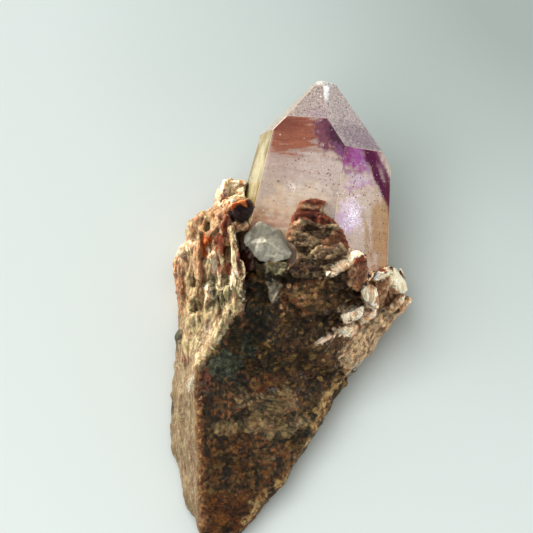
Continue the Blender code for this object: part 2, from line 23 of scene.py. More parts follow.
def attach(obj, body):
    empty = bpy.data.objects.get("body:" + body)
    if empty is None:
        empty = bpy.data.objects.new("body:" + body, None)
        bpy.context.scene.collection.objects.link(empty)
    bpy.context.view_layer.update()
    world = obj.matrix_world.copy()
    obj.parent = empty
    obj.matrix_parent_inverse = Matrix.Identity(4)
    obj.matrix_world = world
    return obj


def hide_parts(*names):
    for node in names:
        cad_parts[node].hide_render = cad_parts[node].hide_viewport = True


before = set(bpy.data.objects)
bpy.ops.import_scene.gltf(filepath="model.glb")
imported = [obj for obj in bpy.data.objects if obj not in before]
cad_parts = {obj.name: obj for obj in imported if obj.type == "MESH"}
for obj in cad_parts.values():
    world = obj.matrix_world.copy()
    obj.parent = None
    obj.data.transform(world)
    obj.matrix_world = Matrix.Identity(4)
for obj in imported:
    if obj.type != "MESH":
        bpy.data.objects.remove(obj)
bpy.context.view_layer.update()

LOG = logging.getLogger("specimen")
MM = 0.001
# The height in millimetres, clear of the specimen, that rays onto its face start from.
RAY_START = 40.0
# More than any distance on the specimen, in millimetres.
FAR = 1e9


def linear(code: str) -> tuple[float, float, float]:
    """Turns an sRGB hex code to linear red, green and blue.

    Args:
        code: Six hex digits, such as "9e7957".

    Returns:
        The three linear values.
    """
    values = [int(code[i : i + 2], 16) / 255.0 for i in (0, 2, 4)]
    return tuple(v / 12.92 if v <= 0.04045 else ((v + 0.055) / 1.055) ** 2.4 for v in values)


def opaque(code: str) -> tuple[float, float, float, float]:
    """The linear colour of a hex code with an alpha of one."""
    return (*linear(code), 1.0)


def add_node(
    tree: bpy.types.NodeTree,
    kind: str,
    sockets: dict | None = None,
    stops: list[tuple[float, str]] | None = None,
    **settings: object,
) -> bpy.types.Node:
    """Adds a node to a tree, with its settings and its links.

    Args:
        tree: The material's node tree.
        kind: The node's type after "ShaderNode", such as "Math".
        sockets: Input sockets by name or number, each a value, or the socket that it is linked
            from, or the node whose first output it is linked from.
        stops: For a colour ramp, its positions and hex codes.
        **settings: Properties of the node.

    Returns:
        The new node.
    """
    node = tree.nodes.new("ShaderNode" + kind)
    for name, value in settings.items():
        setattr(node, name, value)
    for name, value in (sockets or {}).items():
        socket = node.inputs[name]
        if isinstance(value, bpy.types.Node):
            value = value.outputs[0]
        if isinstance(value, bpy.types.NodeSocket):
            tree.links.new(value, socket)
        else:
            socket.default_value = value
    if stops:
        ramp = node.color_ramp
        while len(ramp.elements) < len(stops):
            ramp.elements.new(0.5)
        for element, (position, code) in zip(ramp.elements, stops):
            element.position = position
            element.color = opaque(code)
    return node


def new_material(name: str) -> tuple[bpy.types.Material, bpy.types.NodeTree]:
    """Makes an empty node material.

    Args:
        name: The material's name.

    Returns:
        The material, and its tree with no nodes in it.
    """
    made = bpy.data.materials.new(name)
    made.use_nodes = True
    made.node_tree.nodes.clear()
    return made, made.node_tree


@dataclass(frozen=True)
class SpecimenFrame:
    """How the specimen's own millimetres lie in the row frame's metres."""

    recline_deg: float = 22.0
    origin_height: float = 20.6
    shift: tuple[float, float] = (1.789, -0.7603)

    @property
    def to_row(self) -> Matrix:
        """The matrix from specimen millimetres to row metres."""
        moved = Matrix.Translation(Vector((*self.shift, self.origin_height)) * MM)
        return moved @ Matrix.Rotation(math.radians(self.recline_deg), 4, "X") @ Matrix.Scale(MM, 4)

    def in_row(self, points: np.ndarray) -> np.ndarray:
        """Points in specimen millimetres, as the row frame's metres."""
        out = np.array(self.to_row)
        return points @ out[:3, :3].T + out[:3, 3]

    def places(self, points: np.ndarray) -> np.ndarray:
        """The row frame's points in metres, as specimen millimetres."""
        back = np.array(self.to_row.inverted())
        return points @ back[:3, :3].T + back[:3, 3]

    def directions(self, normals: np.ndarray) -> np.ndarray:
        """The row frame's unit vectors turned to the specimen's frame."""
        turn = np.array(Matrix.Rotation(math.radians(-self.recline_deg), 3, "X"))
        return normals @ turn.T


SPECIMEN = SpecimenFrame()


def soft_noise(places: np.ndarray, size: float, seed: float) -> np.ndarray:
    """Smooth noise from about -1 to 1.

    Args:
        places: Points in millimetres.
        size: The size of its swells in millimetres.
        seed: Which noise it is.

    Returns:
        One value for each point.
    """
    offset = Vector((seed * 3.17, seed * 1.31, seed * 7.7))
    return np.array([noise.noise(Vector(p) / size + offset) for p in places])


def hashed(cells: np.ndarray, seed: int) -> np.ndarray:
    """Three even random numbers from 0 to 1 for each whole-number cell."""
    mixed = seed * 2971215073
    for axis, prime in enumerate((73856093, 19349663, 83492791)):
        mixed = cells[:, axis] * prime ^ mixed
    out = []
    for k in range(3):
        value = (mixed + k * 1640531513) & 0xFFFFFFFF
        for _ in range(2):
            value = ((value >> 16) ^ value) * 0x45D9F3B & 0xFFFFFFFF
        value = (value >> 16) ^ value
        out.append(value / 4294967296.0)
    return np.stack(out, axis=1)


@dataclass
class Grains:
    """Which crystal grain of the rock each point lies in."""

    cell: np.ndarray
    offset: np.ndarray
    border: np.ndarray

    @classmethod
    def around(cls, places: np.ndarray, size: tuple[float, float, float], seed: int) -> "Grains":
        """Finds the grain of each point.

        Args:
            places: Points in millimetres.
            size: The grains' mean size along U, V and W, in millimetres.
            seed: Which set of grains it is.

        Returns:
            The grains, with each point's offset from its grain's middle, and its distance from
            the grain's border, both in grain sizes.
        """
        scaled = places / np.array(size)
        base = np.floor(scaled).astype(np.int64)
        best = np.full(len(places), FAR)
        second = best.copy()
        cell = np.zeros_like(base)
        offset = np.zeros_like(scaled)
        for step in itertools.product((-1, 0, 1), repeat=3):
            near = base + np.array(step)
            arm = scaled - near - hashed(near, seed)
            gap = (arm**2).sum(axis=1)
            closer = gap < best
            second = np.where(closer, best, np.minimum(second, gap))
            best = np.where(closer, gap, best)
            cell[closer] = near[closer]
            offset[closer] = arm[closer]
        return cls(cell, offset, np.sqrt(second) - np.sqrt(best))

    def random(self, seed: int) -> np.ndarray:
        """Three random numbers for each point, the same all over its grain."""
        return hashed(self.cell, seed)

    def tilted(self, seed: int) -> np.ndarray:
        """The height of each point on its grain's tilted flat face, from about -1 to 1."""
        tilt = self.random(seed) * 2.0 - 1.0
        return (tilt * self.offset).sum(axis=1) + self.random(seed + 1)[:, 0] - 0.5


def smooth_step(values: np.ndarray, low: float, high: float) -> np.ndarray:
    """Rises smoothly from 0 at low to 1 at high."""
    t = np.clip((values - low) / (high - low), 0.0, 1.0)
    return t * t * (3.0 - 2.0 * t)


def picked_tints(tints: str, chance: np.ndarray) -> np.ndarray:
    """The linear tint of each grain.

    Args:
        tints: Hex codes, each with a colon and how common it is.
        chance: A random number from 0 to 1 for each point.

    Returns:
        A row of red, green and blue for each point.
    """
    pairs = [tint.split(":") for tint in tints.split()]
    shares = np.cumsum([float(share) for _, share in pairs])
    picked = np.searchsorted(shares / shares[-1], chance)
    return np.array([linear(code) for code, _ in pairs])[np.minimum(picked, len(pairs) - 1)]


def in_oval(
    places: np.ndarray, middle: tuple[float, float], radii: tuple[float, float], turn_deg: float
) -> tuple[np.ndarray, np.ndarray, np.ndarray]:
    """Where each point lies in a turned oval on the specimen's face.

    Args:
        places: Points in specimen millimetres.
        middle: The oval's middle.
        radii: Its two radii in millimetres.
        turn_deg: How far it is turned, in degrees.

    Returns:
        Each point's place along the first and the second radius, in millimetres, and its reach,
        which is 1 on the oval's edge.
    """
    angle = math.radians(turn_deg)
    arm = places[:, :2] - np.array(middle)
    across = arm[:, 0] * math.cos(angle) + arm[:, 1] * math.sin(angle)
    along = -arm[:, 0] * math.sin(angle) + arm[:, 1] * math.cos(angle)
    return across, along, np.sqrt((across / radii[0]) ** 2 + (along / radii[1]) ** 2)


def gap_to_line(points: np.ndarray, first: np.ndarray, last: np.ndarray) -> np.ndarray:
    """How far each point is from the straight line between two places."""
    run = last - first
    arm = points - first
    share = np.clip(arm @ run / (run @ run), 0.0, 1.0)
    return np.linalg.norm(arm - share[:, None] * run, axis=1)


class Mineral(Enum):
    """The rock's kinds of ground, each with its grains' tints and how common each tint is."""

    WALL = "907b59:5 b0a77d:4 7d6549:2 9c8361:4 a38769:3 b4ae8b:3"
    WALL_LOW = "7f6f52:6 8c795f:5 6f5744:2 9b8f75:4 7a634b:3 664a37:1"
    BULGE = "9b714c:4 c2a581:4 a97c5f:4 7d5034:1"
    PALE = "f9e3c3:5 e9caa8:4 fffde5:2 cca47c:2"
    CROWN = "d9b68c:4 f7e6c2:4 b5885b:2 947653:1 fff7da:2"
    # Near black: painted shade on the face of a slab lit from behind.
    SLAB = "190602:4 220a04:2 0c0301:2"
    # Orange thin edges, brightened with a painted glow of light shining through them from behind.
    GLOW = "d98748:3 b05220:3 c86a2e:4"
    RUST = "63280a:4 76310f:2 441605:3 833f17:1"
    TOWER = "5c4a35:4 7b674c:3 422e1a:3 9e8a68:2 58422c:3"
    # Dark reddish-brown: the block's own colour with painted shade, for a face turned away from the
    # light.
    SHADED_CHEEK = "5a3822:4 74482c:3 8c6244:2"
    KNOB = "f4d5b9:5 d4a57c:2 ffebd6:3"
    POST = "a98a6b:4 926846:3 7b573a:2"
    TIP = "c8ad89:4 b8814e:3 dcd4be:1"
    POCKET = "615b3d:4 80775a:4 989470:2 4f4931:3"
    STRAND = "d6c49e:3 b49c74:2"
    # The FRONT palettes hold the rock's own dark mottled colour with painted shade over it, as the
    # front lay in shade.
    FRONT_DARK_SHADED = "271e0a:4 171307:4 36250c:3 382f19:3 58421d:2 654021:1.5 846432:0.6"
    FRONT_RIGHT_SHADED = "4e391e:5 6f532b:2 2e2010:5 56371e:3 8a7140:1 1e1609:4"
    CREAM = "826f49:4 a08759:2.5 56452e:3 705938:3 433925:3 8a6546:2 656047:1.5"
    FRONT_LOW_SHADED = "493115:4 291e0a:4 5c3815:3 74451c:1.5 69522a:2 7e562e:1.5 251e10:2"
    FRONT_TIP_SHADED = "4a2b0a:4 5c2f0c:3 7a4a18:2 2c1905:3 674f20:1"
    FLANK = "b29875:5 d1b189:3 826f55:3 6e4c35:2"
    RIM = "a68d5d:3 987a4c:3 8c683f:3 b39460:1"
    EDGE = "805b32:3 5d3719:4 956f44:1 715333:2"
    VEIN = "8f9890:3 b4b4a4:3 6e7268:1"
    GREEN = "3c4232:3 5b5c47:3 24281e:3"
    BRICK = "6a3a28:3 7c4a34:2 4a2a1c:3 4a4030:2"
    OVAL = "4e2616:3 773019:2"
    CELL = "8a5a46:3 a06c54:2 6c4434:2"
    YELLOW = "ddd3b6:4 cfc09a:2 e8e2ce:2"
    FIBRE = "977647:3 6a492d:4 b98e62:2 3c3720:3 875235:2"
    SHARD = "7c7462:3 96907c:2 5e5848:2"
    BACK = "a07a60:5 8a6850:4 c0a080:3 6a4c38:3 4a4034:2 b88e72:3"

    def tint(self, chance: np.ndarray) -> np.ndarray:
        """The linear tint of each grain, from a random number for each point."""
        return picked_tints(self.value, chance)


@dataclass(frozen=True)
class Patch:
    """A round patch of one kind of ground on the rock's face."""

    ground: Mineral
    middle: tuple[float, float]
    radii: tuple[float, float]
    turn_deg: float = 0.0

    def depth_inside(self, places: np.ndarray) -> np.ndarray:
        """How deep each point lies inside the patch, in millimetres, negative outside."""
        _, _, reach = in_oval(places, self.middle, self.radii, self.turn_deg)
        return (1.0 - reach) * min(self.radii)

    def narrow(self) -> float:
        """The patch's narrower radius, in millimetres."""
        return min(self.radii)


@dataclass(frozen=True)
class Seam:
    """A band of one kind of ground along a line on the rock's face."""

    ground: Mineral
    line: tuple[tuple[float, float], ...]
    width: float

    def depth_inside(self, places: np.ndarray) -> np.ndarray:
        """How deep each point lies inside the band, in millimetres, negative outside."""
        best = np.full(len(places), FAR)
        line = np.array(self.line)
        for first, last in zip(line, line[1:]):
            best = np.minimum(best, gap_to_line(places[:, :2], first, last))
        return self.width / 2 - best

    def narrow(self) -> float:
        """The band's width, in millimetres."""
        return self.width


@dataclass(frozen=True)
class Ledge:
    """A flat-topped ledge that the rock broke to, with its outline on the rock's face.

    Its top stands proud of the rock by so many millimetres, rises by so much for each millimetre
    across and along, and goes down to a depth in the rock.
    """

    ground: Mineral
    outline: tuple[tuple[float, float], ...]
    proud: float
    across: float
    along: float
    depth: float
    # The top's edge is worn back by one and down by the other.
    worn_back: ClassVar[float] = 0.16
    worn_down: ClassVar[float] = 0.22
    # How far outside its outline a ledge's distance is still worked out.
    margin: ClassVar[float] = 0.6

    def depth_inside(self, places: np.ndarray) -> np.ndarray:
        """How deep each point lies inside the outline, in millimetres, negative outside."""
        corners = np.array(self.outline)
        out = np.full(len(places), -FAR)
        near = (places[:, :2] > corners.min(axis=0) - self.margin).all(axis=1)
        near &= (places[:, :2] < corners.max(axis=0) + self.margin).all(axis=1)
        points = places[near, :2]
        best = np.full(len(points), FAR)
        inside = np.zeros(len(points), dtype=bool)
        for first, last in zip(corners, np.roll(corners, -1, axis=0)):
            best = np.minimum(best, gap_to_line(points, first, last))
            run = last - first
            crosses = (first[1] > points[:, 1]) != (last[1] > points[:, 1])
            rise = run[1] if abs(run[1]) > 1e-9 else 1e-9
            reach = first[0] + run[0] * (points[:, 1] - first[1]) / rise
            inside ^= crosses & (points[:, 0] < reach)
        out[near] = np.where(inside, best, -best)
        return out

    def body(
        self, height_at: Callable[[float, float], float | None]
    ) -> tuple[np.ndarray, list[list[int]]]:
        """The ledge's closed shape in the specimen's frame.

        Args:
            height_at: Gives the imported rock's height at a place on its face.

        Returns:
            The shape's points and faces.
        """
        corners = np.array(self.outline)
        middle = corners.mean(axis=0)
        heights = [height_at(*c) for c in [middle, *(middle + (corners - middle) * 0.7)]]
        known = [h for h in heights if h is not None]
        base = float(np.median(known)) if known else 0.0
        rings = []
        for shrink, drop in ((self.worn_back, 0.0), (0.0, self.worn_down), (0.0, self.depth)):
            arm = corners - middle
            reach = np.maximum(1.0 - shrink / np.linalg.norm(arm, axis=1), 0.3)[:, None]
            flat = middle + arm * reach
            tall = base + self.proud + (arm * reach) @ np.array([self.across, self.along]) - drop
            rings.append(np.column_stack([flat, tall]))
        n = len(corners)
        faces = [list(range(n)), list(range(3 * n - 1, 2 * n - 1, -1))]
        for k in (0, n):
            faces += [[k + i, k + n + i, k + n + (i + 1) % n, k + (i + 1) % n] for i in range(n)]
        return np.concatenate(rings), faces


# Patches and seams on the rock's face, later ones over earlier ones.
GROUNDS: tuple[Patch | Seam, ...] = (
    Patch(Mineral.FRONT_RIGHT_SHADED, (3.67, -3.17), (8, 8.33)),
    Patch(Mineral.CREAM, (-9.6, -15.6), (3.4, 1.8), 15),
    Patch(Mineral.CREAM, (-3.8, -16.2), (4.4, 2.2), 24),
    Patch(Mineral.CREAM, (1.6, -13.2), (2.4, 1.3), 40),
    Patch(Mineral.CREAM, (-6.2, -19.5), (5, 1.6), 8),
    Patch(Mineral.CREAM, (0.4, -19.4), (2, 1.2), 30),
    Patch(Mineral.CREAM, (-12, -20.6), (1.8, 1.2)),
    Patch(Mineral.FRONT_LOW_SHADED, (-10, -27.33), (9.33, 5.67)),
    Patch(Mineral.FRONT_TIP_SHADED, (-13, -35.33), (7.67, 4.33)),
    Patch(Mineral.FRONT_RIGHT_SHADED, (3, -13.17), (4, 5)),
    Patch(Mineral.FLANK, (12.67, -4), (3, 9), -38),
    Seam(Mineral.VEIN, ((17, 0.67), (13, -4), (8.67, -11)), 0.83),
    Seam(Mineral.RIM, ((8.67, -10), (5.67, -13.67), (3.33, -18), (1.33, -22.33), (-0.33, -26.33),
        (-2.67, -29.33), (-6.33, -31.33), (-7.67, -34.33), (-9.33, -36.33)), 0.8),
    Patch(Mineral.BRICK, (-15.5, -13), (0.9, 2.4)),
    Patch(Mineral.FRONT_TIP_SHADED, (-6.33, -13.17), (2.67, 1.17), 10),
    Patch(Mineral.GREEN, (-12.5, -9.83), (2.67, 2.33)),
    Patch(Mineral.GREEN, (-8.33, -6.5), (1.5, 2.33)),
    Patch(Mineral.FRONT_LOW_SHADED, (-13, -15.67), (2.33, 3)),
    Patch(Mineral.BULGE, (-20, 5.67), (1.67, 6.67)),
    # Painted highlight on the top of the bulge.
    Patch(Mineral.PALE, (-19.33, 10), (1.5, 1.33)),
    Patch(Mineral.WALL, (-17, 13.33), (2.33, 2.67)),
    Patch(Mineral.GLOW, (-16.17, 9.5), (0.67, 1.67), 10),
    Patch(Mineral.CELL, (-12.17, 5.67), (2, 2.17)),
    Patch(Mineral.POCKET, (-13, 2.33), (3, 3)),
    Patch(Mineral.PALE, (-14.33, 7.33), (0.83, 3.67), 12),
    Patch(Mineral.RUST, (-13, 10.17), (1.1, 3.3), 10),
    Patch(Mineral.CROWN, (-11.67, 18.67), (3, 3)),
    Patch(Mineral.SLAB, (-10.17, 16.17), (2.33, 1.67), 20),
    Seam(Mineral.GLOW, ((-13.17, 15.33), (-12, 15.83), (-10.33, 17), (-8.83, 18.17),
        (-7.67, 17.17)), 0.3),
    Seam(Mineral.STRAND, ((-11.17, 13), (-10.5, 7.33), (-9.67, 1)), 0.67),
    Patch(Mineral.OVAL, (-9.17, 7.33), (0.83, 2.33), 5),
    Patch(Mineral.TOWER, (2.5, 11.67), (6, 6.33)),
    Seam(Mineral.GLOW, ((-1.67, 16.17), (0, 17.83), (2.67, 18), (4.33, 17.5)), 0.6),
    Seam(Mineral.RUST, ((4.33, 15.67), (6.33, 14), (7.67, 11.67), (8.17, 9.67)), 0.67),
    Seam(Mineral.RUST, ((-2, 15.33), (-2.33, 12.67), (-2.67, 9.33)), 0.57),
    Seam(Mineral.PALE, ((0, 14.17), (3, 14.5), (6.33, 13.17)), 0.5),
    Seam(Mineral.PALE, ((1.83, 9.33), (5, 9.5), (7.67, 10.17)), 0.5),
    Seam(Mineral.STRAND, ((-2.17, 11), (-1.67, 7.33), (0, 4.67)), 0.5),
    Seam(Mineral.PALE, ((3.5, 4.83), (5.67, 7.17), (8, 9), (9.67, 9.17), (10.67, 8.17)), 1),
    # Painted light: a paler ground under the ridge block, which lies in that block's shadow.
    Patch(Mineral.POST, (8.4, 1.2), (2.1, 1.3)),
    Patch(Mineral.SHADED_CHEEK, (9.5, 6.67), (1.33, 2)),
    Patch(Mineral.GLOW, (9.83, 8.33), (0.67, 0.67)),
    Patch(Mineral.KNOB, (12, 1.83), (1.67, 2.83)),
    Patch(Mineral.PALE, (8.83, -1.17), (2.33, 1.33), -25),
    Patch(Mineral.KNOB, (7.5, -4.17), (2, 0.83)),
    Patch(Mineral.POST, (13.67, 2.33), (2, 3.67)),
    Patch(Mineral.PALE, (13.67, 5.5), (2, 1), -20),
    Seam(Mineral.PALE, ((14.67, -1), (16.17, 0.5), (17.5, 1.83)), 0.83),
    Patch(Mineral.TIP, (17.83, -0.33), (1.33, 2)),
    Patch(Mineral.YELLOW, (16.83, 3.67), (2.1, 2.9)),
    Patch(Mineral.FIBRE, (1, 1.5), (4.6, 2.6), 12),
    Patch(Mineral.FIBRE, (5.2, 2.4), (3, 2.4)),
    Seam(Mineral.VEIN, ((-19, -14.33), (-18, -12.67), (-17, -10.83)), 0.67),
    Patch(Mineral.GREEN, (-21, -5), (0.67, 1.83)),
    Patch(Mineral.GREEN, (-21.83, -17), (0.5, 1.5)),
    Patch(Mineral.RUST, (-19, -9), (0.67, 0.67)),
    Seam(Mineral.EDGE, ((-10.67, 1.67), (-13.67, -4), (-17.17, -10.67), (-17.17, -19),
        (-16.83, -27.33), (-16.67, -37.83)), 0.5),
    Seam(Mineral.STRAND, ((-11.33, 1), (-14.33, -4), (-17.33, -9.33)), 0.67),
)

